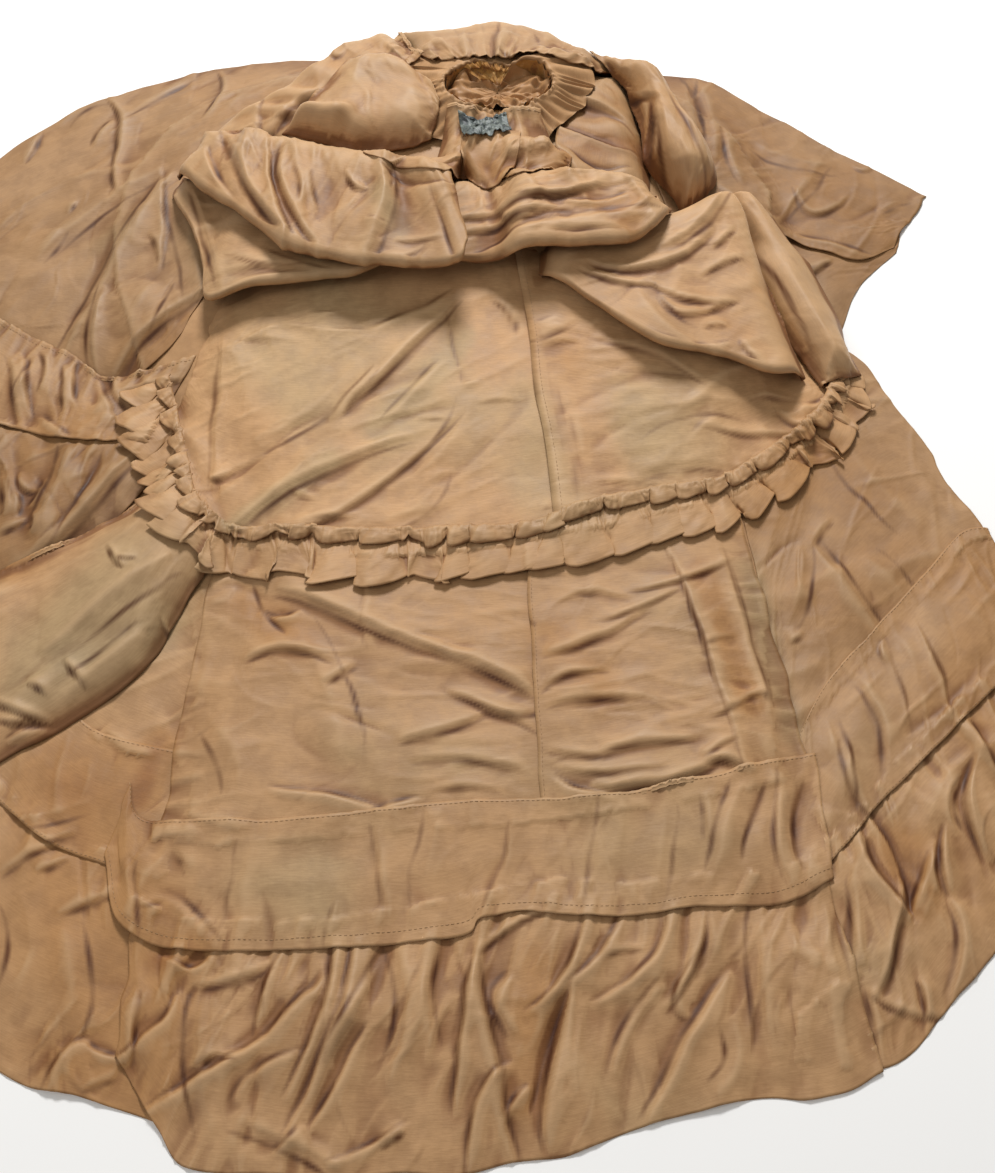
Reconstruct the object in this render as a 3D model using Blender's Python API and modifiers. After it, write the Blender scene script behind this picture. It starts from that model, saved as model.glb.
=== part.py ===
"""Skirt and draped overskirt of a bustle dress, laid out on a surface with its train spread.

Metres, +Z up. The waist is at the back (+Y) and the hem at the front (-Y). Each cloth piece is
a loft between two edges, given as a short table of ribs, thickened to a wall. The pieces are laid
one on the other from the surface up: each is lifted until it clears what lies below it.
"""

import math
import random

import bpy
import numpy as np

MM = 0.001
WALL = 0.0018
TAPE_WALL = 0.0012
LAYER_GAP = 0.0005
SEAM_GAP = 0.0003
CELL = 0.002
FIELD_X = (-0.72, 0.62)
FIELD_Y = (-0.60, 0.80)
SETTLE_ROUNDS = 14
SNUG = 0.0002

# The plan's middle, moved to the origin when every piece is made.
PLAN_CENTRE = (-0.0551, 0.1087)

APRON_FRILL_WAVES = 44
FRILL_HEADING = 0.009
SWAG_TURN = 0.0085
WING_TURN = 0.006
TUCK = 0.024

# Ribs of a piece, in mm: where each rib leaves the back edge and where it meets the front edge.
# Columns: back_x, back_y, back_z, front_x, front_y, front_z.
DRAPE_LEFT = (
    (-140, 710, 44, -290, 330, 24),
    (-255, 705, 32, -322, 262, 19),
    (-345, 685, 18, -375, 225, 14),
    (-435, 645, 10, -425, 260, 12),
    (-510, 585, 5, -465, 285, 10),
    (-560, 520, 4, -515, 320, 8),
    (-600, 455, 3, -555, 390, 6),
)
DRAPE_LEFT_FRILL = (
    (-292, 256, 20, -331, 152, 17),
    (-374, 236, 15, -387, 152, 12),
    (-422, 271, 13, -444, 168, 10),
    (-466, 296, 11, -495, 195, 8),
    (-515, 330, 9, -551, 247, 6),
    (-556, 398, 7, -600, 335, 4),
    (-594, 456, 4, -622, 417, 3),
)
DRAPE_RIGHT = (
    (100, 690, 36, 188, 390, 30),
    (226, 676, 18, 262, 438, 22),
    (304, 615, 11, 323, 410, 18),
    (379, 551, 8, 374, 397, 15),
    (455, 493, 6, 410, 418, 12),
)
DRAPE_RIGHT_LOWER = (
    (241, 466, 14, 290, 270, 20),
    (313, 441, 9, 337, 295, 14),
    (374, 443, 7, 364, 356, 8),
    (425, 455, 5, 412, 412, 5),
)
SIDE_FOLD_RIGHT = (
    (232, 470, 44, 262, 470, 34),
    (246, 400, 34, 306, 405, 26),
    (260, 321, 32, 337, 322, 25),
    (286, 266, 30, 345, 280, 26),
    (312, 215, 27, 352, 236, 25),
)
SIDE_STRIP_LEFT = (
    (-299, 147, 24, -245, 40, 20),
    (-330, 90, 20, -278, -29, 18),
    (-387, 46, 14, -306, -93, 16),
    (-444, 12, 10, -364, -143, 13),
    (-505, -32, 7, -429, -190, 9),
    (-537, -61, 5, -475, -213, 6),
)
SIDE_RECESS_LEFT = (
    (-380, 200, 10, -300, 165, 14),
    (-410, 190, 9, -342, 80, 12),
    (-450, 185, 8, -395, 30, 9),
    (-500, 190, 7, -455, -5, 7),
    (-545, 200, 5, -510, -50, 5),
)
FRONT_PANEL = (
    (-250, 95, 16, -277, -248, 11),
    (-180, 95, 17, -195, -252, 12),
    (-70, 95, 17, -70, -240, 12),
    (30, 100, 17, 40, -232, 12),
    (90, 105, 17, 120, -220, 12),
    (150, 110, 17, 195, -206, 12),
    (215, 115, 17, 262, -186, 10),
)
FRONT_BAND = (
    (-304, -196, 9, -316, -262, 8),
    (-290, -228, 10, -295, -323, 8),
    (-228, -234, 13, -231, -344, 10),
    (-131, -230, 14, -136, -342, 10),
    (-50, -220, 14, -30, -331, 10),
    (0, -217, 14, -5, -314, 10),
    (84, -212, 14, 99, -316, 10),
    (166, -197, 14, 167, -308, 10),
    (218, -183, 13, 227, -301, 10),
    (266, -170, 9, 267, -283, 8),
)
FRONT_FLOUNCE = (
    (-290, -300, 5, -288, -423, 2),
    (-258, -315, 6, -250, -475, 2),
    (-217, -320, 6, -218, -506, 2),
    (-132, -320, 6, -122, -511, 2),
    (-20, -300, 6, -20, -508, 2),
    (40, -290, 6, 51, -495, 2),
    (99, -290, 6, 112, -475, 2),
    (167, -284, 6, 167, -460, 2),
    (238, -272, 6, 249, -453, 2),
    (262, -262, 5, 289, -435, 2),
)
APRON = (
    (-282, 287, 34, -309, 173, 22),
    (-267, 326, 40, -292, 107, 22),
    (-236, 354, 42, -262, 54, 22),
    (-177, 372, 43, -200, 29, 22),
    (-98, 372, 43, -110, 20, 23),
    (-35, 374, 43, -25, 24, 23),
    (22, 374, 43, 60, 43, 23),
    (90, 352, 43, 125, 60, 23),
    (170, 320, 40, 200, 84, 22),
    (235, 300, 36, 262, 128, 22),
    (290, 290, 33, 314, 175, 24),
    (316, 268, 28, 338, 226, 26),
)
APRON_SEAM_RIB = 6
APRON_FRILL = (
    (-322, 222, 23, -345, 205, 20),
    (-311, 188, 22, -341, 152, 18),
    (-292, 118, 22, -319, 97, 17),
    (-275, 69, 22, -296, 38, 16),
    (-240, 44, 22, -244, 1, 16),
    (-190, 41, 22, -191, -2, 16),
    (-110, 37, 22, -110, -9, 16),
    (-40, 39, 22, -40, -3, 16),
    (30, 44, 22, 25, 1, 16),
    (85, 67, 22, 90, 13, 16),
    (150, 84, 22, 156, 38, 16),
    (205, 97, 22, 216, 58, 16),
    (250, 128, 22, 270, 98, 15),
    (299, 170, 23, 323, 145, 14),
    (324, 211, 25, 354, 198, 16),
    (332, 250, 28, 352, 254, 20),
)
SWAG_UNDER_LEFT = (
    (-329, 493, 36, -338, 462, 28),
    (-290, 470, 40, -298, 378, 32),
    (-245, 440, 44, -284, 300, 34),
    (-195, 420, 47, -230, 314, 42),
    (-127, 400, 48, -147, 324, 45),
    (-59, 380, 48, -78, 322, 46),
)
SWAG_LEFT = (
    (-312, 530, 48, -334, 479, 42),
    (-270, 528, 58, -296, 433, 50),
    (-232, 515, 64, -247, 381, 54),
    (-192, 499, 68, -209, 348, 56),
    (-144, 484, 70, -148, 327, 57),
    (-87, 460, 71, -47, 316, 58),
    (-50, 440, 70, -28, 335, 60),
)
SWAG_RIGHT = (
    (-60, 451, 70, -46, 336, 56),
    (0, 451, 70, 0, 340, 58),
    (58, 451, 70, 73, 345, 58),
    (106, 448, 68, 131, 348, 58),
    (145, 436, 66, 155, 367, 60),
    (159, 420, 66, 176, 396, 60),
)
WING_RIGHT = (
    (50, 390, 56, 40, 334, 52),
    (126, 395, 58, 98, 282, 49),
    (170, 415, 60, 152, 244, 46),
    (215, 445, 60, 208, 229, 44),
    (236, 450, 58, 257, 209, 42),
    (250, 400, 50, 297, 221, 40),
)
PUFF_LEFT = (
    (-104, 691, 55, -80, 624, 66),
    (-150, 696, 50, -100, 608, 66),
    (-204, 655, 49, -120, 588, 67),
    (-245, 600, 47, -135, 556, 67),
    (-300, 560, 43, -150, 520, 67),
    (-322, 515, 37, -160, 490, 65),
)
SHELL_LEFT = (
    (-160, 618, 66, -222, 514, 62),
    (-128, 628, 70, -176, 496, 68),
    (-100, 626, 72, -126, 490, 72),
    (-82, 600, 74, -90, 488, 74),
    (-70, 560, 74, -68, 496, 74),
)
PUFF_RIGHT = (
    (98, 640, 64, 178, 640, 44),
    (138, 590, 66, 190, 590, 52),
    (150, 520, 66, 214, 536, 52),
    (154, 468, 66, 236, 480, 52),
    (164, 430, 64, 226, 440, 56),
)
PUFF_BACK = (
    (-140, 719, 42, -74, 614, 72),
    (-58, 712, 48, -48, 612, 77),
    (0, 728, 46, 0, 608, 78),
    (49, 712, 46, 44, 612, 77),
    (98, 675, 44, 78, 606, 74),
    (152, 655, 36, 112, 612, 66),
)
POCKET_RIGHT = (
    (76, 634, 62, 146, 642, 54),
    (70, 585, 60, 150, 585, 57),
    (68, 520, 60, 156, 520, 58),
    (52, 470, 62, 158, 470, 60),
    (44, 440, 64, 150, 440, 60),
)
KNOT = (
    (-60, 532, 68, -62, 466, 70),
    (-34, 523, 70, -34, 452, 72),
    (0, 521, 71, 0, 446, 72),
    (34, 524, 70, 34, 450, 71),
    (56, 530, 68, 58, 462, 69),
)

# Train, from the waist side outwards. Columns: panel x, y, z, band x, y, z, flounce x, y, z, hem x, y, z.
TRAIN_RIGHT = (
    (217, 118, 10, 253, -153, 6, 238, -293, 4, 229, -424, 1),
    (257, 183, 10, 283, -101, 5, 274, -261, 4, 295, -432, 1),
    (292, 244, 10, 329, -47, 4, 322, -209, 4, 343, -390, 1),
    (331, 279, 8, 388, 16, 3, 396, -139, 3, 406, -318, 1),
    (358, 262, 4, 420, 55, 2, 445, -90, 2, 472, -228, 1),
    (374, 228, 2, 446, 62, 1, 484, -35, 1, 512, -150, 1),
)
TRAIN_LEFT = (
    (-232, 67, 10, -258, -168, 6, -269, -283, 4, -244, -475, 1),
    (-282, 158, 10, -324, -152, 5, -347, -259, 4, -310, -455, 1),
    (-333, 214, 9, -370, -121, 4, -400, -224, 3, -373, -437, 1),
    (-400, 205, 7, -421, -75, 3, -462, -159, 2, -452, -394, 1),
    (-470, 200, 6, -477, 2, 2, -523, -85, 2, -528, -323, 1),
    (-520, 215, 4, -525, 90, 1, -575, 0, 1, -612, -150, 1),
)

# Largest folds, in mm. Columns: x0, y0, x1, y1, width to each side, height. A negative height is a trough.
TRAIN_FOLDS = (
    (296, -225, 326, -305, 20, 17),
    (326, -305, 292, -385, 18, 13),
    (350, -200, 425, -275, 20, 9),
    (420, -120, 470, -190, 18, 8),
    (330, 200, 365, 40, 26, 6),
    (400, 60, 420, -60, 20, 5),
    (-330, -300, -300, -430, 22, 8),
    (-440, -200, -420, -370, 26, 9),
    (-540, -60, -560, -230, 24, 8),
    (-300, -90, -370, -160, 22, 6),
)
DRAPE_LEFT_FOLDS = (
    (-350, 640, -352, 320, 30, 13),
    (-420, 560, -390, 270, 26, 12),
    (-500, 520, -470, 320, 26, 9),
    (-375, 430, -412, 290, 20, -6),
    (-180, 700, -330, 560, 26, 9),
)
DRAPE_RIGHT_FOLDS = (
    (190, 650, 262, 440, 26, 12),
    (262, 640, 305, 430, 20, 10),
    (320, 570, 350, 415, 22, 8),
    (245, 475, 330, 425, 20, 8),
    (150, 600, 215, 420, 20, 8),
)
SIDE_STRIP_FOLDS = (
    (-290, 70, -420, -120, 26, 9),
    (-340, 110, -490, -50, 20, 8),
    (-280, 10, -330, -90, 18, 6),
)
FRONT_PANEL_FOLDS = (
    (-170, 5, -105, -50, 24, 8),
    (-105, -50, 40, -125, 26, 11),
    (60, -110, 215, -50, 22, 7),
    (40, -150, 200, -175, 20, 7),
    (-235, -110, -70, -185, 26, 7),
    (165, 70, 205, -170, 18, 7),
    (215, 60, 245, -150, 16, 7),
    (-262, 60, -268, -180, 18, 6),
)
FRONT_BAND_FOLDS = (
    (-300, -200, -290, -310, 18, 9),
    (-200, -250, -175, -330, 22, 5),
    (0, -225, -20, -325, 20, 6),
    (225, -190, 238, -290, 20, 7),
)
FRONT_FLOUNCE_FOLDS = (
    (-125, -340, -160, -490, 20, 12),
    (-25, -340, -35, -440, 18, 10),
    (-135, -360, -225, -455, 18, 10),
    (45, -370, 35, -500, 18, 13),
    (155, -340, 105, -460, 20, 10),
    (60, -320, -15, -430, 16, 8),
    (220, -300, 225, -445, 22, 8),
    (-240, -350, -265, -440, 16, 8),
)
APRON_FOLDS = (
    (-240, 60, -50, 260, 28, 10),
    (-185, 50, -40, 190, 20, 7),
    (-255, 310, -285, 130, 20, 9),
    (-170, 250, -110, 350, 26, 7),
    (40, 310, 140, 170, 24, 8),
    (110, 270, 275, 180, 26, 10),
    (225, 260, 310, 190, 20, 8),
    (60, 200, 85, 60, 22, 5),
)

# Folds that run with a piece's ribs, in uneven widths. Columns: waves, rise at the back edge, rise at the front edge, in mm.
GATHERS = {
    "drape_left_frill": (13, 9, 8),
    "train_flounce_left": (7, 3, 9),
    "train_flounce_right": (9, 4, 12),
    "front_flounce": (14, 3, 9),
    "side_recess_left": (7, 6, 5),
    "swag_left": (6, 9, 3),
    "swag_under_left": (4, 4, 1),
    "swag_right": (4, 7, 2),
    "wing_right": (3, 6, 2),
    "puff_left": (6, 12, 12),
    "shell_left": (1, 0, 0),
    "puff_right": (2, 3, 3),
    "puff_back": (7, 6, 5),
    "pocket_right": (3, 9, 9),
    "knot": (6, 6, 5),
}

# Waistband, an oval that stands open. Columns: angle in degrees, radius, rise of its top edge, in mm.
WAIST_CENTRE = (0.0, 0.566)
WAIST_FOOT = 0.0605
WAIST_HEIGHT = 0.037
WAIST_OVAL = (
    (0, 60, 0),
    (40, 52, 2),
    (90, 35, 4),
    (140, 52, 3),
    (180, 60, 1),
    (220, 48, -4),
    (270, 30, -7),
    (320, 48, -4),
)

# Inner tape at the band's back, by the band's own sectors. Columns: first sector, last sector, rise above the band, in mm.
WAIST_TAPE = (4, 15, 5)
# Scrap of grey-blue cloth over the band's front edge, as a piece's ribs.
SCRAP_RIBS = (
    (-40, 546, 94, -36, 514, 86),
    (-26, 549, 96, -24, 508, 87),
    (-12, 545, 95, -12, 510, 86),
    (0, 541, 93, 2, 516, 85),
)

# The plan of the hidden layers, a ring about a centre. Columns: x, y in mm.
HIDDEN_PLAN = (
    (0, 714),
    (-120, 700),
    (-250, 668),
    (-350, 610),
    (-405, 500),
    (-400, 380),
    (-360, 250),
    (-330, 120),
    (-270, -20),
    (-262, -180),
    (-240, -330),
    (-150, -400),
    (0, -400),
    (150, -370),
    (232, -300),
    (240, -150),
    (250, 0),
    (300, 150),
    (320, 280),
    (290, 400),
    (290, 520),
    (205, 640),
    (110, 664),
)
HIDDEN_CENTRE = (0, 150)
# Rings of the solid. Columns: inset from the plan's edge in mm, share of the way to the centre, greatest height in mm.
HIDDEN_RINGS = (
    (0, 0.0, 1.4),
    (5, 0.0, 1.4),
    (6, 0.0, 3.0),
    (12, 0.0, 3.0),
    (20, 0.0, 14.0),
    (30, 0.06, 60.0),
    (30, 0.16, 60.0),
    (30, 0.28, 60.0),
    (30, 0.41, 60.0),
    (30, 0.55, 60.0),
    (30, 0.69, 60.0),
    (30, 0.84, 60.0),
)
HIDDEN_SECTORS = 36
HIDDEN_CLEAR = 0.0007
HIDDEN_LEAST = 0.0012
HIDDEN_TOP = 0.0600

TAFFETA = "#AE8559"
TAFFETA_SHADE = "#9A6F45"
TAPE = "#9C6E3C"
SCRAP = "#6E7477"


def linear(hex_colour):
    """sRGB hex colour to linear RGBA."""
    channels = [int(hex_colour[i : i + 2], 16) / 255 for i in (1, 3, 5)]
    low = [c / 12.92 if c <= 0.04045 else ((c + 0.055) / 1.055) ** 2.4 for c in channels]
    return (*low, 1.0)


def material(name, hex_colour, roughness):
    made = bpy.data.materials.new(name)
    made.use_nodes = True
    shader = made.node_tree.nodes["Principled BSDF"]
    shader.inputs["Base Color"].default_value = linear(hex_colour)
    shader.inputs["Roughness"].default_value = roughness
    shader.inputs["Metallic"].default_value = 0.0
    made.diffuse_color = linear(hex_colour)
    return made


def spline(rows, at):
    """Catmull-Rom through the rows, at the parameters given, where 0 is the first row and 1 the last."""
    rows = np.asarray(rows, float)
    ends = np.vstack([2 * rows[0] - rows[1], rows, 2 * rows[-1] - rows[-2]])
    place = np.clip(np.asarray(at), 0, 1) * (len(rows) - 1)
    first = np.minimum(place.astype(int), len(rows) - 2)
    t = (place - first)[:, None]
    a, b, c, d = (ends[first + k] for k in range(4))
    return 0.5 * (2 * b + (c - a) * t + (2 * a - 5 * b + 4 * c - d) * t**2 + (3 * b - a - 3 * c + d) * t**3)


def even(rows, count, columns=None):
    """Parameters of count steps of the same length along the ribs' middles."""
    fine = np.linspace(0, 1, 400)
    points = spline(rows, fine)
    if columns is None:
        middle = (points[:, 0:2] + points[:, -3:-1]) / 2
    else:
        middle = points[:, columns]
    run = np.concatenate([[0], np.cumsum(np.linalg.norm(np.diff(middle, axis=0), axis=1))])
    return np.interp(np.linspace(0, run[-1], count + 1), run, fine)


def loft(rows, cols, bands, arch=0.0, start=0.0, end=1.0):
    """Grid of points between the back and the front edge, in metres."""
    at = start + (end - start) * even(rows, cols)
    ribs = spline(rows, at) * MM
    v = np.linspace(0, 1, bands + 1)
    back, front = ribs[:, None, 0:3], ribs[:, None, 3:6]
    grid = back + (front - back) * v[None, :, None]
    grid[:, :, 2] += arch * np.sin(math.pi * v) ** 0.7
    return grid


def add_folds(grid, folds):
    """Raises a ridge, or sinks a trough, along each fold's line. It fades at both ends."""
    xy = grid[:, :, :2]
    for x0, y0, x1, y1, width, height in folds:
        start = np.array((x0, y0)) * MM
        along = np.array((x1, y1)) * MM - start
        length = np.linalg.norm(along)
        along = along / length
        offset = xy - start
        s = offset @ along / length
        across = (offset[:, :, 0] * along[1] - offset[:, :, 1] * along[0]) / (width * MM)
        ridge = np.exp(-1.6 * across**2)
        fade = np.clip((s + 0.12) / 0.3, 0, 1) * np.clip((1.12 - s) / 0.3, 0, 1)
        grid[:, :, 2] += height * MM * ridge * fade


def uneven_phase(cols, waves, seed):
    """Phase along a gathered edge whose waves differ in width."""
    rng = random.Random(seed)
    widths = [rng.uniform(0.65, 1.35) for _ in range(waves)]
    ends = np.concatenate([[0], np.cumsum(widths)]) / sum(widths)
    return np.interp(np.linspace(0, 1, cols + 1), ends, np.arange(waves + 1)) * 2 * math.pi


def add_gathers(grid, name, seed=3):
    waves, back, front = GATHERS[name]
    cols, bands = grid.shape[0] - 1, grid.shape[1] - 1
    phase = uneven_phase(cols, waves, seed + len(name))
    v = np.linspace(0, 1, bands + 1)
    rise = (back + (front - back) * v) * MM
    grid[:, :, 2] += (0.5 - 0.5 * np.cos(phase))[:, None] * rise[None, :]


def rolled(rows, cols, bands, turn, tuck, name):
    """A loft whose front edge rolls over and tucks back under itself."""
    flat = loft(rows, cols, bands)
    reach = flat[:, -1, :2] - flat[:, 0, :2]
    length = np.linalg.norm(reach, axis=1)
    along = reach / length[:, None]
    v = np.linspace(0, 1, bands + 1)
    grid = flat.copy()
    for k in range(bands + 1):
        grid[:, k, :2] = flat[:, 0, :2] + along * ((length - turn) * v[k])[:, None]
    grid[:, :, 2] += turn * v[None, :] ** 0.5
    add_gathers(grid, name)
    foot = grid[:, -1, 2] - turn
    columns = [grid]
    for angle in (40, -10, -60, -90):
        out = math.cos(math.radians(angle)) * turn
        up = math.sin(math.radians(angle)) * turn
        xy = flat[:, 0, :2] + along * (length - turn + out)[:, None]
        columns.append(np.concatenate([xy, (foot + up)[:, None]], axis=1)[:, None, :])
    xy = flat[:, 0, :2] + along * (length - turn - tuck)[:, None]
    columns.append(np.concatenate([xy, (foot - turn + 0.001)[:, None]], axis=1)[:, None, :])
    return np.concatenate(columns, axis=1)


def frill(rows, waves):
    """A gathered strip sewn down a little below its top, so that a heading stands behind the stitching."""
    cols = waves * 3
    ribs = spline(rows, even(rows, cols)) * MM
    back, front = ribs[:, 0:3], ribs[:, 3:6]
    out = front - back
    out[:, 2] = 0
    out /= np.linalg.norm(out, axis=1)[:, None]
    side = np.cross(out, (0, 0, 1))
    rng = random.Random(11)
    full = np.array([rng.uniform(0.55, 1.35) for _ in range(cols + 1)])
    turn = np.arange(cols + 1) * 2 * math.pi / 3
    beat = np.sin(turn + 0.4) * full
    late = np.cos(turn) * full
    heading = back - out * FRILL_HEADING + side * (0.003 * late)[:, None]
    heading[:, 2] += 0.007 + 0.0045 * beat
    stitch = back.copy()
    stitch[:, 2] += 0.0025 + 0.0012 * beat
    body = back * 0.45 + front * 0.55 + side * (0.004 * beat)[:, None]
    body[:, 2] += 0.008 + 0.0062 * late
    hem = front + out * (0.004 * late)[:, None] + side * (0.002 * beat)[:, None]
    hem[:, 2] += 0.0055 + 0.0052 * late
    return np.stack([heading, stitch, body, hem], axis=1)


def triangles(cols, bands, closed=False):
    """Triangles of a grid, facing along du x dv."""
    faces = []
    wide = bands + 1
    for i in range(cols):
        nxt = (i + 1) % cols if closed else i + 1
        for j in range(bands):
            a, b = i * wide + j, nxt * wide + j
            c, d = nxt * wide + j + 1, i * wide + j + 1
            if (i + j) % 2:
                faces += [(a, b, c), (a, c, d)]
            else:
                faces += [(a, b, d), (b, c, d)]
    return np.array(faces)


def cells_under(corners):
    """Field cells whose centres a triangle covers in plan, with its height at each."""
    low = corners[:, :2].min(axis=0)
    high = corners[:, :2].max(axis=0)
    i0, j0 = (int((low[k] - origin) / CELL) for k, origin in ((0, FIELD_X[0]), (1, FIELD_Y[0])))
    i1, j1 = (int((high[k] - origin) / CELL) + 1 for k, origin in ((0, FIELD_X[0]), (1, FIELD_Y[0])))
    x = FIELD_X[0] + (np.arange(i0, i1 + 1) + 0.5) * CELL
    y = FIELD_Y[0] + (np.arange(j0, j1 + 1) + 0.5) * CELL
    x, y = np.meshgrid(x, y, indexing="ij")
    (ax, ay, az), (bx, by, bz), (cx, cy, cz) = corners
    area = (bx - ax) * (cy - ay) - (cx - ax) * (by - ay)
    if abs(area) < 1e-12:
        return None
    wb = ((x - ax) * (cy - ay) - (cx - ax) * (y - ay)) / area
    wc = ((bx - ax) * (y - ay) - (x - ax) * (by - ay)) / area
    inside = (wb >= -0.02) & (wc >= -0.02) & (wb + wc <= 1.02)
    if not inside.any():
        return None
    ii, jj = np.nonzero(inside)
    z = az + wb[inside] * (bz - az) + wc[inside] * (cz - az)
    return ii + i0, jj + j0, z


class Field:
    """Height of what lies on the surface so far, cell by cell."""

    def __init__(self, fill=0.0):
        size = [int((span[1] - span[0]) / CELL) + 2 for span in (FIELD_X, FIELD_Y)]
        self.top = np.full(size, fill)

    def stamp(self, points, faces, lowest=False):
        choose = np.minimum if lowest else np.maximum
        for face in faces:
            found = cells_under(points[face])
            if found:
                ii, jj, z = found
                self.top[ii, jj] = choose(self.top[ii, jj], z)

    def spread(self):
        """The field with each cell raised to its neighbours."""
        wide = self.top.copy()
        for dx in (-1, 0, 1):
            for dy in (-1, 0, 1):
                wide = np.maximum(wide, np.roll(self.top, (dx, dy), (0, 1)))
        return wide


def lack_of(points, faces, ground, gap):
    """How far each point has to rise for its triangles to clear the ground."""
    lack = np.zeros(len(points))
    for a, b in ((0, 1), (1, 2), (2, 0)):
        for t in (0.0, 0.2, 0.4, 0.6, 0.8):
            at = points[faces[:, a]] * (1 - t) + points[faces[:, b]] * t
            ii = ((at[:, 0] - FIELD_X[0]) / CELL).astype(int)
            jj = ((at[:, 1] - FIELD_Y[0]) / CELL).astype(int)
            short = ground[ii, jj] + gap - at[:, 2]
            np.maximum.at(lack, faces[:, a], short)
            np.maximum.at(lack, faces[:, b], short)
    for face in faces:
        found = cells_under(points[face])
        if found:
            ii, jj, z = found
            short = (ground[ii, jj] + gap - z).max()
            if short > 0:
                lack[face] = np.maximum(lack[face], short)
    return lack


def settle(grid, faces, field, gap, whole_ribs):
    """Lifts a piece off what lies below it, rib by rib or point by point, with the lift eased around."""
    cols, wide = grid.shape[:2]
    ground = field.spread()
    for _ in range(SETTLE_ROUNDS):
        lift = lack_of(grid.reshape(-1, 3), faces, ground, gap).reshape(cols, wide)
        if lift.max() < 2e-5:
            break
        if whole_ribs:
            lift = np.repeat(lift.max(axis=1)[:, None], wide, axis=1)
        eased = lift.copy()
        for _ in range(2):
            padded = np.pad(eased, 1, mode="edge")
            around = (padded[:-2, 1:-1] + padded[2:, 1:-1] + padded[1:-1, :-2] + padded[1:-1, 2:]) / 4
            eased = np.maximum(lift, 0.5 * eased + 0.5 * around)
        grid[:, :, 2] += eased
    grid[:, :, 2] -= max(0.0, clearance(grid.reshape(-1, 3), faces, field.top) - gap - SNUG)


def clearance(points, faces, ground):
    """Least height of a piece above the ground under it."""
    least = 1.0
    for face in faces:
        found = cells_under(points[face])
        if found:
            ii, jj, z = found
            least = min(least, (z - ground[ii, jj]).min())
    return least


def new_object(name, points, faces, made_of, collection):
    mesh = bpy.data.meshes.new(name)
    centre = np.array((*PLAN_CENTRE, 0.0))
    mesh.from_pydata((points - centre).tolist(), [], np.asarray(faces).tolist())
    mesh.update()
    mesh.shade_smooth()
    mesh.materials.append(made_of)
    obj = bpy.data.objects.new(name, mesh)
    collection.objects.link(obj)
    return obj


def evaluated(obj):
    """Points in the plan's frame and triangles of an object with its modifiers."""
    graph = bpy.context.evaluated_depsgraph_get()
    shape = obj.evaluated_get(graph)
    mesh = shape.to_mesh()
    mesh.calc_loop_triangles()
    points = np.empty(len(mesh.vertices) * 3)
    mesh.vertices.foreach_get("co", points)
    faces = np.empty(len(mesh.loop_triangles) * 3, np.int32)
    mesh.loop_triangles.foreach_get("vertices", faces)
    shape.to_mesh_clear()
    return points.reshape(-1, 3) + np.array((*PLAN_CENTRE, 0.0)), faces.reshape(-1, 3)


def facing_up(grid, faces):
    """The faces, turned round if the first band of the grid looks down."""
    points = grid.reshape(-1, 3)
    a, b, c = (points[faces[:, k]] for k in range(3))
    wide = grid.shape[1]
    first = (faces % wide).max(axis=1) <= max(1, wide // 3)
    if np.cross(b - a, c - a)[first, 2].sum() < 0:
        return faces[:, ::-1]
    return faces


class Heap:
    """The garment as it is laid, from the surface up."""

    def __init__(self, collection, cloth):
        self.collection = collection
        self.cloth = cloth
        self.field = Field()
        self.undersides = []

    def lay(self, name, grid, made_of=None, wall=WALL, gap=LAYER_GAP, turned=False, closed=False, lift=True):
        """Settles a grid of points, thickens it and adds it to the heap."""
        cols = grid.shape[0] - (0 if closed else 1)
        faces = facing_up(grid, triangles(cols, grid.shape[1] - 1, closed))
        if lift:
            settle(grid, faces, self.field, gap + (wall if turned else 0), turned)
        obj = new_object(name, grid.reshape(-1, 3), faces, made_of or self.cloth, self.collection)
        shell = obj.modifiers.new("Wall", "SOLIDIFY")
        shell.thickness = wall
        shell.offset = 1.0
        self.field.stamp(*evaluated(obj))
        return obj


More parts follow.
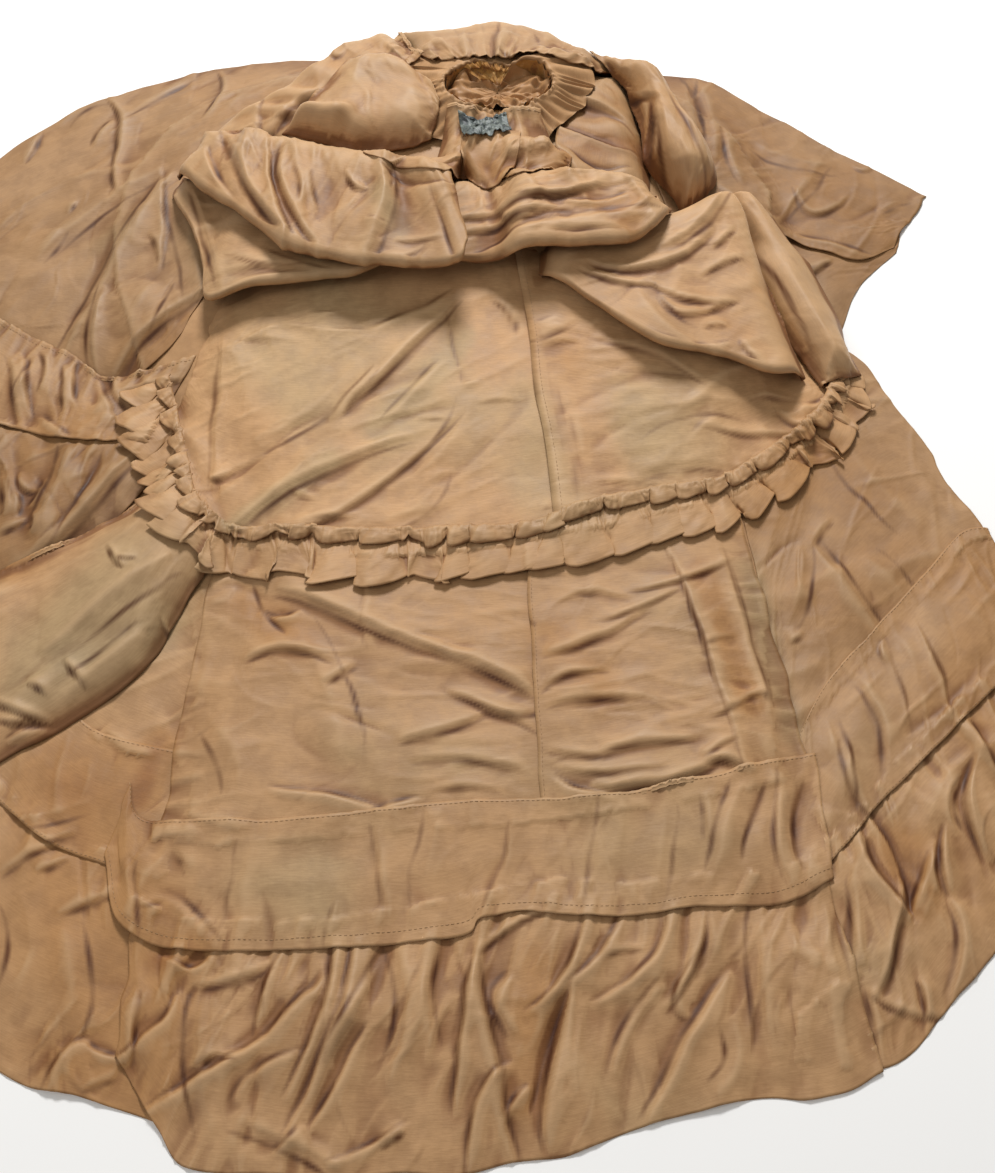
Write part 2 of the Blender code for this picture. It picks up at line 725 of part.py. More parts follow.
def planned_pieces():
    """Every cloth piece from the surface up, as name, grid of points and whether its edge is turned under."""
    pieces = []

    def add(name, grid, folds=(), turned=False):
        if name in GATHERS and not turned:
            add_gathers(grid, name)
        add_folds(grid, folds)
        pieces.append((name, grid, turned))

    for side, table, cells in (("left", TRAIN_LEFT, 20), ("right", TRAIN_RIGHT, 26)):
        rows = np.array(table, float)
        tucked = rows[:, 6:12].copy()
        tucked[:, 0:3] += (rows[:, 3:6] - rows[:, 6:9]) * 0.10
        add(f"train_flounce_{side}", loft(tucked, cells, 3), TRAIN_FOLDS)
        panel = rows[:, 0:6].copy()
        panel[:, 3:6] += (rows[:, 6:9] - rows[:, 3:6]) * 0.08
        add(f"train_panel_{side}", loft(panel, 7, 7), TRAIN_FOLDS)
        band = rows[:, 3:9].copy()
        band[:, 2] += 2.5
        band[:, 5] += 3.5
        add(f"train_band_{side}", loft(band, 11, 3), TRAIN_FOLDS)
    add("side_recess_left", loft(SIDE_RECESS_LEFT, 13, 4))
    add("drape_right_lower", loft(DRAPE_RIGHT_LOWER, 5, 4), DRAPE_RIGHT_FOLDS)
    add("drape_left", loft(DRAPE_LEFT, 15, 9), DRAPE_LEFT_FOLDS)
    add("front_flounce", loft(FRONT_FLOUNCE, 40, 4), FRONT_FLOUNCE_FOLDS)
    seam = (3 - 0.0) / 6
    left = loft(FRONT_PANEL, 9, 9, end=seam)
    right = loft(FRONT_PANEL, 8, 9, start=seam)
    left, right = part_at_seam(left, right)
    add("front_panel_left", left, FRONT_PANEL_FOLDS)
    add("front_panel_right", right, FRONT_PANEL_FOLDS)
    add("front_band", loft(FRONT_BAND, 22, 3), FRONT_BAND_FOLDS)
    add("side_strip_left", loft(SIDE_STRIP_LEFT, 9, 6, arch=0.006), SIDE_STRIP_FOLDS)
    add("drape_left_frill", loft(DRAPE_LEFT_FRILL, 39, 2))
    add("drape_right", loft(DRAPE_RIGHT, 11, 7), DRAPE_RIGHT_FOLDS)
    seam = APRON_SEAM_RIB / (len(APRON) - 1)
    left = loft(APRON, 10, 10, end=seam)
    right = loft(APRON, 10, 10, start=seam)
    left, right = part_at_seam(left, right)
    add("apron_left", left, APRON_FOLDS)
    add("apron_right", right, APRON_FOLDS)
    add("apron_frill", frill(APRON_FRILL, APRON_FRILL_WAVES))
    add("side_fold_right", loft(SIDE_FOLD_RIGHT, 8, 5, arch=0.012))
    add("pocket_right", loft(POCKET_RIGHT, 7, 6))
    name = "swag_under_left"
    add(name, rolled(SWAG_UNDER_LEFT, 10, 4, WING_TURN, TUCK, name), turned=True)
    add("puff_back", loft(PUFF_BACK, 20, 4, arch=0.010))
    add("puff_left", loft(PUFF_LEFT, 18, 6, arch=0.012))
    name = "wing_right"
    add(name, rolled(WING_RIGHT, 11, 6, WING_TURN, TUCK, name), turned=True)
    name = "swag_right"
    add(name, rolled(SWAG_RIGHT, 12, 5, SWAG_TURN, TUCK, name), turned=True)
    name = "swag_left"
    add(name, rolled(SWAG_LEFT, 17, 6, SWAG_TURN, TUCK, name), turned=True)
    add("puff_right", loft(PUFF_RIGHT, 10, 7, arch=0.024))
    add("knot", loft(KNOT, 15, 4, arch=0.005))
    add("shell_left", loft(SHELL_LEFT, 9, 7, arch=0.014))
    return pieces


def part_at_seam(left, right):
    """Parts two grids that share a rib by the seam gap."""
    across = right[1, :, :2] - left[-2, :, :2]
    across /= np.linalg.norm(across, axis=1)[:, None]
    right[0] = left[-1]
    left[-1, :, :2] -= across * SEAM_GAP / 2
    right[0, :, :2] += across * SEAM_GAP / 2
    return left, right


def hidden_layers(heap, pieces):
    """The rounded solid under the pieces: as high as they leave room for, stepped at its edge."""
    lowest = Field(1.0)
    for _, grid, turned in pieces:
        faces = triangles(grid.shape[0] - 1, grid.shape[1] - 1)
        points = grid.reshape(-1, 3).copy()
        if turned:
            points[:, 2] -= WALL
        lowest.stamp(points, faces, lowest=True)
    room = lowest.top
    reach = 12
    for axis in (0, 1):
        room = np.min([np.roll(room, k, axis) for k in range(-reach, reach + 1)], axis=0)
    for axis in (0, 1):
        room = np.mean([np.roll(room, k, axis) for k in range(-reach, reach + 1)], axis=0)
    room = np.minimum(room, lowest.top)
    plan = np.array(HIDDEN_PLAN, float)
    ring = spline(np.vstack([plan[-1:], plan, plan[:2]]), np.linspace(1, len(plan) + 1, HIDDEN_SECTORS + 1)[:-1] / (len(plan) + 2)) * MM
    centre = np.array(HIDDEN_CENTRE) * MM

    def height(xy, most):
        i = ((xy[:, 0] - FIELD_X[0]) / CELL).astype(int)
        j = ((xy[:, 1] - FIELD_Y[0]) / CELL).astype(int)
        return np.clip(np.minimum(room[i, j] - HIDDEN_CLEAR, most), HIDDEN_LEAST, HIDDEN_TOP)

    rings = [np.column_stack([ring, np.zeros(len(ring))])]
    inward = centre - ring
    length = np.linalg.norm(inward, axis=1)[:, None]
    for inset, share, most in HIDDEN_RINGS:
        xy = ring + inward * (share + (1 - share) * inset * MM / length)
        rings.append(np.column_stack([xy, height(xy, most * MM)]))
    points = np.concatenate(rings)
    peak = np.array([[*centre, height(centre[None, :], 1.0)[0]]])
    points = np.concatenate([points, peak])
    sectors = len(ring)
    faces = []
    for r in range(len(rings) - 1):
        for s in range(sectors):
            nxt = (s + 1) % sectors
            a, b = r * sectors + s, r * sectors + nxt
            c, d = a + sectors, b + sectors
            faces += [(a, b, d), (a, d, c)]
    last = (len(rings) - 1) * sectors
    faces += [(last + s, last + (s + 1) % sectors, len(points) - 1) for s in range(sectors)]
    faces.append(tuple(reversed(range(sectors))))
    name = "hidden_layers"
    obj = new_object_faces(name, points, faces, heap)
    heap.field.stamp(*evaluated(obj))
    return obj


def new_object_faces(name, points, faces, heap):
    mesh = bpy.data.meshes.new(name)
    centre = np.array((*PLAN_CENTRE, 0.0))
    mesh.from_pydata((points - centre).tolist(), [], faces)
    mesh.update()
    mesh.materials.append(heap.cloth)
    obj = bpy.data.objects.new(name, mesh)
    heap.collection.objects.link(obj)
    return obj


def waistband(heap, tape_cloth):
    """The standing oval band, and the tape sewn inside its back."""
    oval = np.array(WAIST_OVAL, float)
    turn = np.vstack([oval[-1:] - (360, 0, 0), oval, oval[:2] + (360, 0, 0)])
    sectors = 40
    ring = spline(turn, np.linspace(1, len(oval) + 1, sectors + 1)[:-1] / (len(oval) + 2))
    angle = np.radians(ring[:, 0])
    out = np.column_stack([np.cos(angle), np.sin(angle)])
    crumple = np.sin(np.arange(sectors) * 2.3) * 0.0012

    def level(v, inset, rise):
        xy = np.array(WAIST_CENTRE) + out * (ring[:, 1] * MM + crumple * (1 + v) - 0.002 * v - inset)[:, None]
        z = WAIST_FOOT + (WAIST_HEIGHT + ring[:, 2] * MM) * v + crumple * v + rise
        return np.column_stack([xy, z])

    def stand(name, grid, closed, made_of, wall):
        cols = grid.shape[0] - (0 if closed else 1)
        faces = triangles(cols, grid.shape[1] - 1, closed)
        points = grid.reshape(-1, 3)
        a, b, c = (points[faces[:, k]] for k in range(3))
        middle = (a + b + c) / 3 - np.array((*WAIST_CENTRE, 0))
        if (np.cross(b - a, c - a)[:, :2] * middle[:, :2]).sum() < 0:
            faces = faces[:, ::-1]
        obj = new_object(name, points, faces, made_of, heap.collection)
        shell = obj.modifiers.new("Wall", "SOLIDIFY")
        shell.thickness = wall
        shell.offset = 1.0
        heap.field.stamp(*evaluated(obj))

    band = np.stack([level(v, 0.0, 0.0) for v in (0.0, 0.5, 1.0)], axis=1)
    stand("waistband", band, True, material("waistband", TAFFETA, 0.45), WALL)
    first, last, rise = WAIST_TAPE
    inset = 1.3 * TAPE_WALL + 2 * SEAM_GAP
    tape = np.stack([level(v, inset, r * MM) for v, r in ((0.3, 0), (0.65, 0), (1.0, rise))], axis=1)
    stand("waist_tape", tape[first : last + 1], False, tape_cloth, TAPE_WALL)


def clear_scene():
    for obj in list(bpy.data.objects):
        bpy.data.objects.remove(obj, do_unlink=True)


def main():
    clear_scene()
    collection = bpy.data.collections.new("bustle_dress")
    bpy.context.scene.collection.children.link(collection)
    cloth = material("taffeta", TAFFETA, 0.42)
    heap = Heap(collection, cloth)
    pieces = planned_pieces()
    hidden_layers(heap, pieces)
    for name, grid, turned in pieces:
        heap.lay(name, grid, turned=turned, made_of=material(name, TAFFETA, 0.42))
    waistband(heap, material("waist_tape", TAPE, 0.6))
    scrap = loft(SCRAP_RIBS, 8, 6)
    scrap[:, :, 2] += 0.002 * np.sin(np.arange(9) * 2.1)[:, None] * np.cos(np.arange(7) * 1.7)[None, :]
    heap.lay("waist_hook_scrap", scrap, made_of=material("waist_hook_scrap", SCRAP, 0.5), wall=TAPE_WALL)
    low = np.array([1.0, 1.0])
    high = -low
    for obj in collection.objects:
        points, _ = evaluated(obj)
        low = np.minimum(low, points[:, :2].min(axis=0))
        high = np.maximum(high, points[:, :2].max(axis=0))
    print("plan centre", (low + high) / 2, "size", high - low)


main()
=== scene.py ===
"""Skirt and draped overskirt of a bustle dress in shot silk taffeta, laid out with its train spread.

Metres, +Z up. The tables below are in millimetres of the plan, the frame in which the pieces were laid
out; plan_centre moves them to the row's frame. The waist is at the back (+Y), the hem at the front (-Y).
"""

import math
import random

import bmesh
import bpy
import numpy as np
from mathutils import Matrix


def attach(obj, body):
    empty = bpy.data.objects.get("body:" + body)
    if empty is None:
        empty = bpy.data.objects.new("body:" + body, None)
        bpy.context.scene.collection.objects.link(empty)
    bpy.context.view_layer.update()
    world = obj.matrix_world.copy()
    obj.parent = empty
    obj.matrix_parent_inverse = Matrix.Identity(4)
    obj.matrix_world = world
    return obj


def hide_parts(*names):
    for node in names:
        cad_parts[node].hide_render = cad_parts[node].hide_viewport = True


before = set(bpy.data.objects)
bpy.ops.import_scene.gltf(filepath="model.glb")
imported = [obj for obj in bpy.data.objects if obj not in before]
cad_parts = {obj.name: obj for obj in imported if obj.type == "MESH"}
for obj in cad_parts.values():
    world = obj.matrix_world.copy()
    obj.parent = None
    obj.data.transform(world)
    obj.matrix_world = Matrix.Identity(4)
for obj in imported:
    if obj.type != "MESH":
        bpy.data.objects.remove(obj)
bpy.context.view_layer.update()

MM = 0.001
PLAN_CENTRE = np.array((-0.0551, 0.1087, 0.0))
CLOTH = 0.0018  # height of a cloth above its solid's form, in metres as all that follow
LIP = 0.0042  # reach of a turned edge
LAYER_GAP = 0.0006  # between a cloth and what it lies on
PITCH = 0.0023  # step of a cloth's grid
# The field of heights that cloths are laid on: its cell, its corner and its cells each way.
CELL = 0.002
FIELD_LOW = np.array((-0.74, -0.62))
FIELD_SIZE = (700, 730)

# The photograph: its size, and the camera in the plan's frame.
PHOTO = (995, 1173)
CAMERA = np.array((0.0, -0.79517, 1.22446))
CAMERA_TILT = math.radians(33)
LENS_MM = 50
SENSOR_MM = 36

# Radius of the rolled edges of swags and of wings, and how far the cloth goes back under them.
TURN = {"swag": 0.0062, "wing": 0.0048}
TUCK = 0.024

# Soft boxes. Columns: place, size of their side in metres, power in watts. They aim at the dress's middle.
LAMPS = (
    ((0.1, 2.45, 2.3), 0.8, 115),
    ((-1.8, -1.2, 3.0), 1.6, 24),
)
WORLD_STRENGTH = 0.32

# Stitches of the visible seams, in metres.
STITCH_SIZES = {"Spacing": 0.0042, "Length": 0.0028, "Thickness": 0.0005}
STITCH_RISE = 0.0002

# Lines pressed into the silk. Columns: length and width of their fields in metres, height.
PRESSED = ((0.24, 0.060, 1.0), (0.13, 0.034, -0.8), (0.10, 0.022, 0.6), (0.05, 0.013, 0.4))
CREASE_SIDE = 0.78  # share of the table's half widths that the creases keep
CREASE_RISE = 0.75  # and of its heights, where CREASE_GAIN doesn't say otherwise
EDGE_WANDER = 0.0022  # unevenness of a piece's outline, in metres
WANDER_LENGTH = 0.045  # and its wavelength
SEAM_FADE = 0.012  # how close to a seam the creases die out

FRILL_COLUMNS = 1250
FRILL_FLAPS = 31
WAIST_SECTORS = 420
WAIST_PLEATS = 44

# Ribs of a piece, in mm: where each rib leaves the back edge and where it meets the front edge.
# Columns: back_x, back_y, back_z, front_x, front_y, front_z.
RIBS = {
    "drape_left": (
        (-140, 710, 44, -290, 330, 24), (-255, 705, 32, -322, 262, 19), (-345, 685, 18, -375, 225, 14),
        (-435, 645, 10, -425, 260, 12), (-510, 585, 5, -465, 285, 10), (-560, 520, 4, -515, 320, 8),
        (-600, 455, 3, -555, 390, 6),
    ),
    "drape_left_frill": (
        (-292, 256, 20, -331, 152, 17), (-374, 236, 15, -387, 152, 12), (-422, 271, 13, -444, 168, 10),
        (-466, 296, 11, -495, 195, 8), (-515, 330, 9, -551, 247, 6), (-556, 398, 7, -600, 335, 4),
        (-594, 456, 4, -622, 417, 3),
    ),
    "drape_right": (
        (100, 690, 36, 188, 390, 30), (226, 676, 18, 262, 438, 22), (304, 615, 11, 323, 410, 18),
        (379, 551, 8, 374, 397, 15), (455, 493, 6, 410, 418, 12),
    ),
    "drape_right_lower": (
        (241, 466, 14, 290, 270, 20), (313, 441, 9, 337, 295, 14), (374, 443, 7, 364, 356, 8),
        (425, 455, 5, 412, 412, 5),
    ),
    "side_fold_right": (
        (232, 470, 44, 262, 470, 34), (246, 400, 34, 306, 405, 26), (260, 321, 32, 337, 322, 25),
        (286, 266, 30, 345, 280, 26), (312, 215, 27, 352, 236, 25),
    ),
    "side_strip_left": (
        (-299, 147, 24, -245, 40, 20), (-330, 90, 20, -278, -29, 18), (-387, 46, 14, -306, -93, 16),
        (-444, 12, 10, -364, -143, 13), (-505, -32, 7, -429, -190, 9), (-537, -61, 5, -475, -213, 6),
    ),
    "side_recess_left": (
        (-380, 200, 10, -300, 165, 14), (-410, 190, 9, -342, 80, 12), (-450, 185, 8, -395, 30, 9),
        (-500, 190, 7, -455, -5, 7), (-545, 200, 5, -510, -50, 5),
    ),
    "front_panel": (
        (-250, 95, 16, -277, -248, 11), (-180, 95, 17, -195, -252, 12), (-70, 95, 17, -70, -240, 12),
        (30, 100, 17, 40, -232, 12), (90, 105, 17, 120, -220, 12), (150, 110, 17, 195, -206, 12),
        (215, 115, 17, 262, -186, 10),
    ),
    "front_band": (
        (-304, -196, 9, -316, -262, 8), (-290, -228, 10, -295, -323, 8), (-228, -234, 13, -231, -344, 10),
        (-131, -230, 14, -136, -342, 10), (-50, -220, 14, -30, -331, 10), (0, -217, 14, -5, -314, 10),
        (84, -212, 14, 99, -316, 10), (166, -197, 14, 167, -308, 10), (218, -183, 13, 227, -301, 10),
        (266, -170, 9, 267, -283, 8),
    ),
    "front_flounce": (
        (-290, -300, 5, -288, -423, 2), (-258, -315, 6, -250, -475, 2), (-217, -320, 6, -218, -506, 2),
        (-132, -320, 6, -122, -511, 2), (-20, -300, 6, -20, -508, 2), (40, -290, 6, 51, -495, 2),
        (99, -290, 6, 112, -475, 2), (167, -284, 6, 167, -460, 2), (238, -272, 6, 249, -453, 2),
        (262, -262, 5, 289, -435, 2),
    ),
    "apron": (
        (-282, 287, 34, -309, 173, 22), (-267, 326, 40, -292, 107, 22), (-236, 354, 42, -262, 54, 22),
        (-177, 372, 43, -200, 29, 22), (-98, 372, 43, -110, 20, 23), (-35, 374, 43, -25, 24, 23),
        (22, 374, 43, 60, 43, 23), (90, 352, 43, 125, 60, 23), (170, 320, 40, 200, 84, 22),
        (235, 300, 36, 262, 128, 22), (290, 290, 33, 314, 175, 24), (316, 268, 28, 338, 226, 26),
    ),
    "apron_frill": (
        (-322, 222, 23, -345, 205, 20), (-311, 188, 22, -341, 152, 18), (-292, 118, 22, -319, 97, 17),
        (-275, 69, 22, -296, 38, 16), (-240, 44, 22, -244, 1, 16), (-190, 41, 22, -191, -2, 16),
        (-110, 37, 22, -110, -9, 16), (-40, 39, 22, -40, -3, 16), (30, 44, 22, 25, 1, 16), (85, 67, 22, 90, 13, 16),
        (150, 84, 22, 156, 38, 16), (205, 97, 22, 216, 58, 16), (250, 128, 22, 270, 98, 15),
        (299, 170, 23, 323, 145, 14), (324, 211, 25, 354, 198, 16), (332, 250, 28, 352, 254, 20),
    ),
    "swag_under_left": (
        (-329, 493, 36, -338, 462, 28), (-290, 470, 40, -298, 378, 32), (-245, 440, 44, -284, 300, 34),
        (-195, 420, 47, -230, 314, 42), (-127, 400, 48, -147, 324, 45), (-59, 380, 48, -78, 322, 46),
    ),
    "swag_left": (
        (-312, 530, 48, -334, 479, 42), (-270, 528, 58, -296, 433, 50), (-232, 515, 64, -247, 381, 54),
        (-192, 499, 68, -209, 348, 56), (-144, 484, 70, -148, 327, 57), (-87, 460, 71, -47, 316, 58),
        (-50, 440, 70, -28, 335, 60),
    ),
    "swag_right": (
        (-60, 451, 70, -46, 336, 56), (0, 451, 70, 0, 340, 58), (58, 451, 70, 73, 345, 58),
        (106, 448, 68, 131, 348, 58), (145, 436, 66, 155, 367, 60), (159, 420, 66, 176, 396, 60),
    ),
    "wing_right": (
        (50, 390, 56, 40, 334, 52), (126, 395, 58, 98, 282, 49), (170, 415, 60, 152, 244, 46),
        (215, 445, 60, 208, 229, 44), (236, 450, 58, 257, 209, 42), (250, 400, 50, 297, 221, 40),
    ),
    "puff_left": (
        (-104, 691, 55, -80, 624, 66), (-150, 696, 50, -100, 608, 66), (-204, 655, 49, -120, 588, 67),
        (-245, 600, 47, -135, 556, 67), (-300, 560, 43, -150, 520, 67), (-322, 515, 37, -160, 490, 65),
    ),
    "shell_left": (
        (-160, 618, 66, -222, 514, 62), (-128, 628, 70, -176, 496, 68), (-100, 626, 72, -126, 490, 72),
        (-82, 600, 74, -90, 488, 74), (-70, 560, 74, -68, 496, 74),
    ),
    "puff_right": (
        (98, 640, 64, 178, 640, 44), (138, 590, 66, 190, 590, 52), (150, 520, 66, 214, 536, 52),
        (154, 468, 66, 236, 480, 52), (164, 430, 64, 226, 440, 56),
    ),
    "puff_back": (
        (-140, 719, 42, -74, 614, 72), (-58, 712, 48, -48, 612, 77), (0, 728, 46, 0, 608, 78),
        (49, 712, 46, 44, 612, 77), (98, 675, 44, 78, 606, 74), (152, 655, 36, 112, 612, 66),
    ),
    "pocket_right": (
        (76, 634, 62, 146, 642, 54), (70, 585, 60, 150, 585, 57), (68, 520, 60, 156, 520, 58),
        (52, 470, 62, 158, 470, 60), (44, 440, 64, 150, 440, 60),
    ),
    "knot_petal_left": (
        (-30, 486, 79, -30, 486, 79), (-46, 476, 82, -48, 424, 74), (-84, 472, 80, -84, 428, 74),
        (-120, 462, 76, -122, 444, 73), (-134, 454, 73, -134, 452, 73),
    ),
    "knot_loop_right": (
        (4, 488, 80, 4, 484, 80), (22, 490, 84, 6, 430, 75), (48, 494, 82, 34, 428, 74), (66, 486, 78, 60, 446, 72),
        (76, 474, 73, 74, 464, 72),
    ),
    "knot_middle": (
        (-34, 506, 84, -38, 470, 80), (-22, 504, 88, -26, 434, 78), (0, 506, 90, -6, 420, 77),
        (16, 502, 87, 14, 436, 77), (24, 498, 82, 22, 462, 78),
    ),
    "knot": (
        (-60, 532, 68, -62, 466, 70), (-34, 523, 70, -34, 452, 72), (0, 521, 71, 0, 446, 72),
        (34, 524, 70, 34, 450, 71), (56, 530, 68, 58, 462, 69),
    ),
    "scrap": (
        (-40, 546, 94, -36, 514, 86), (-26, 549, 96, -24, 508, 87), (-12, 545, 95, -12, 510, 86),
        (0, 541, 93, 2, 516, 85),
    ),
}

# Train, from the waist side outwards. Columns: panel x, y, z, band x, y, z, flounce x, y, z, hem x, y, z.
TRAIN = {
    "right": (
        (217, 118, 10, 253, -153, 6, 238, -293, 4, 229, -424, 1),
        (257, 183, 10, 283, -101, 5, 274, -261, 4, 295, -432, 1),
        (292, 244, 10, 329, -47, 4, 322, -209, 4, 343, -390, 1),
        (331, 279, 8, 388, 16, 3, 396, -139, 3, 406, -318, 1),
        (358, 262, 4, 420, 55, 2, 445, -90, 2, 472, -228, 1),
        (374, 228, 2, 446, 62, 1, 484, -35, 1, 512, -150, 1),
    ),
    "left": (
        (-232, 67, 10, -258, -168, 6, -269, -283, 4, -244, -475, 1),
        (-282, 158, 10, -324, -152, 5, -347, -259, 4, -310, -455, 1),
        (-333, 214, 9, -370, -121, 4, -400, -224, 3, -373, -437, 1),
        (-400, 205, 7, -421, -75, 3, -462, -159, 2, -452, -394, 1),
        (-470, 200, 6, -477, 2, 2, -523, -85, 2, -528, -323, 1),
        (-520, 215, 4, -525, 90, 1, -575, 0, 1, -612, -150, 1),
    ),
}

# Largest folds, in mm. Columns: x0, y0, x1, y1, width to each side, height. A negative height is a trough.
FOLDS = {
    "train": (
        (296, -225, 326, -305, 20, 17), (326, -305, 292, -385, 18, 13), (350, -200, 425, -275, 20, 9),
        (420, -120, 470, -190, 18, 8), (330, 200, 365, 40, 26, 6), (400, 60, 420, -60, 20, 5),
        (-330, -300, -300, -430, 22, 8), (-440, -200, -420, -370, 26, 9), (-540, -60, -560, -230, 24, 8),
        (-300, -90, -370, -160, 22, 6),
    ),
    "drape_left": (
        (-350, 640, -352, 320, 30, 13), (-420, 560, -390, 270, 26, 12), (-500, 520, -470, 320, 26, 9),
        (-375, 430, -412, 290, 20, -6), (-180, 700, -330, 560, 26, 9),
    ),
    "drape_right": (
        (190, 650, 262, 440, 26, 12), (262, 640, 305, 430, 20, 10), (320, 570, 350, 415, 22, 8),
        (245, 475, 330, 425, 20, 8), (150, 600, 215, 420, 20, 8),
    ),
    "side_strip_left": (
        (-290, 70, -420, -120, 26, 9), (-340, 110, -490, -50, 20, 8), (-280, 10, -330, -90, 18, 6),
    ),
    "front_panel": (
        (-170, 5, -105, -50, 24, 8), (-105, -50, 40, -125, 26, 11), (60, -110, 215, -50, 22, 7),
        (40, -150, 200, -175, 20, 7), (-235, -110, -70, -185, 26, 7), (165, 70, 205, -170, 18, 7),
        (215, 60, 245, -150, 16, 7), (-262, 60, -268, -180, 18, 6),
    ),
    "front_band": (
        (-300, -200, -290, -310, 18, 9), (-200, -250, -175, -330, 22, 5), (0, -225, -20, -325, 20, 6),
        (225, -190, 238, -290, 20, 7),
    ),
    "front_flounce": (
        (-125, -340, -160, -490, 20, 12), (-25, -340, -35, -440, 18, 10), (-135, -360, -225, -455, 18, 10),
        (45, -370, 35, -500, 18, 13), (155, -340, 105, -460, 20, 10), (60, -320, -15, -430, 16, 8),
        (220, -300, 225, -445, 22, 8), (-240, -350, -265, -440, 16, 8),
    ),
    "apron": (
        (-240, 60, -50, 260, 28, 10), (-185, 50, -40, 190, 20, 7), (-255, 310, -285, 130, 20, 9),
        (-170, 250, -110, 350, 26, 7), (40, 310, 140, 170, 24, 8), (110, 270, 275, 180, 26, 10),
        (225, 260, 310, 190, 20, 8), (60, 200, 85, 60, 22, 5),
    ),
}

# Folds that run with a piece's ribs. Columns: waves, rise at the back edge, rise at the front edge, in mm.
GATHERS = {
    "drape_left_frill": (13, 9, 8), "train_flounce_left": (7, 3, 9), "train_flounce_right": (9, 4, 12),
    "front_flounce": (14, 3, 9), "side_recess_left": (7, 6, 5), "swag_left": (6, 9, 3),
    "swag_under_left": (4, 4, 1), "swag_right": (4, 7, 2), "wing_right": (3, 6, 2), "puff_left": (6, 12, 12),
    "shell_left": (1, 0, 0), "puff_right": (2, 3, 3), "puff_back": (7, 6, 5), "pocket_right": (3, 9, 9),
    "knot": (6, 6, 5),
}

# Share of those folds that the finished cloth keeps; its creases take the rest.
GATHERS_KEPT = {
    "drape_left_frill": 0.3, "train_flounce_right": 0.3, "train_flounce_left": 0.35, "front_flounce": 0.2,
    "side_recess_left": 0.2, "swag_left": 0.35, "swag_under_left": 0.3, "swag_right": 0.4, "wing_right": 0.3,
    "puff_left": 0.3, "puff_right": 0.4, "puff_back": 0.22, "pocket_right": 0.3, "knot": 0.5,
}
FOLDS_KEPT = 0.12

# Pieces that end in a point: how far their last 7 cm draw together, and at which share of their depth.
POINTED = {"puff_right": (0.8, 0.5), "swag_under_left": (1.0, 0.0), "shell_left": (0.45, 0.6)}
# Pieces that are drawn to the waist's rim.
AT_WAIST = ("puff_back", "puff_left", "pocket_right", "knot", "shell_left")
# Seams between two pieces: how far, as a share of the ribs, the second laps over the first, and which end
# of either piece is sewn.
LAPPED = {"apron_right": 0.008, "front_panel_right": 0.009}
SEWN = {"apron_left": -1, "apron_right": 0, "front_panel_left": -1, "front_panel_right": 0}
# Pieces that lie flat on those below.
FLAT = ("train", "front", "apron", "drape")
# Share of the heights of the main creases that a piece keeps.
CREASE_GAIN = {
    "front_flounce": 0.9, "train_flounce_right": 0.95, "front_panel_left": 0.85, "front_panel_right": 0.85,
    "puff_right": 1.4, "pocket_right": 0.95, "side_strip_left": 1.1, "drape_left": 0.9, "wing_right": 0.95,
    "swag_left": 0.95,
}

# Each piece from the surface up. Columns: name, columns and bands of its solid, then its small creases: how
# many, their greatest height in mm, their direction in the plan in degrees and its spread; then the undulation
# of the whole piece and its wavelength, in mm.
PIECES = (
    ("train_flounce_left", 20, 3, 60, 2.2, 75, 35, 3.0, 90),
    ("train_panel_left", 7, 7, 40, 1.6, 40, 40, 2.5, 110),
    ("train_band_left", 11, 3, 30, 1.5, 60, 35, 2.0, 80),
    ("train_flounce_right", 26, 3, 80, 2.6, 70, 35, 3.0, 70),
    ("train_panel_right", 7, 7, 36, 1.8, 55, 50, 2.5, 110),
    ("train_band_right", 11, 3, 34, 2.0, 100, 40, 2.2, 80),
    ("side_recess_left", 13, 4, 80, 2.8, 80, 40, 3.0, 50),
    ("drape_right_lower", 5, 4, 24, 1.6, 30, 30, 1.5, 60),
    ("drape_left", 15, 9, 80, 1.8, 60, 40, 3.0, 120),
    ("front_flounce", 40, 4, 110, 2.4, 65, 30, 3.2, 75),
    ("front_panel_left", 9, 9, 60, 1.7, 5, 35, 2.6, 110),
    ("front_panel_right", 8, 9, 60, 1.7, 10, 30, 2.2, 90),
    ("front_band", 22, 3, 70, 1.5, 70, 25, 2.0, 90),
    ("side_strip_left", 9, 6, 46, 1.6, 40, 35, 2.2, 80),
    ("drape_left_frill", 39, 2, 40, 1.8, 75, 30, 2.4, 60),
    ("drape_right", 11, 7, 46, 1.8, 30, 40, 2.6, 90),
    ("apron_left", 10, 10, 90, 1.5, 30, 30, 2.4, 110),
    ("apron_right", 10, 10, 70, 1.5, 8, 35, 2.4, 100),
    ("apron_frill", 132, 3),
    ("side_fold_right", 8, 5, 32, 2.0, 112, 18, 1.4, 50),
    ("pocket_right", 7, 6, 30, 2.4, 90, 60, 3.0, 40),
    ("swag_under_left", 10, 4, 36, 1.8, 10, 25, 1.8, 70),
    ("puff_back", 20, 4, 60, 2.6, 85, 30, 3.0, 45),
    ("puff_left", 18, 6, 60, 2.6, 60, 40, 3.0, 60),
    ("wing_right", 11, 6, 70, 1.8, 25, 30, 2.0, 70),
    ("swag_right", 12, 5, 70, 2.4, 15, 25, 2.4, 50),
    ("swag_left", 17, 6, 80, 2.2, 60, 45, 2.6, 60),
    ("puff_right", 10, 7, 52, 2.6, 100, 20, 2.0, 50),
    ("knot", 15, 4, 40, 3.0, 60, 60, 3.0, 26),
    ("shell_left", 9, 7, 34, 2.0, 120, 35, 1.4, 50),
)
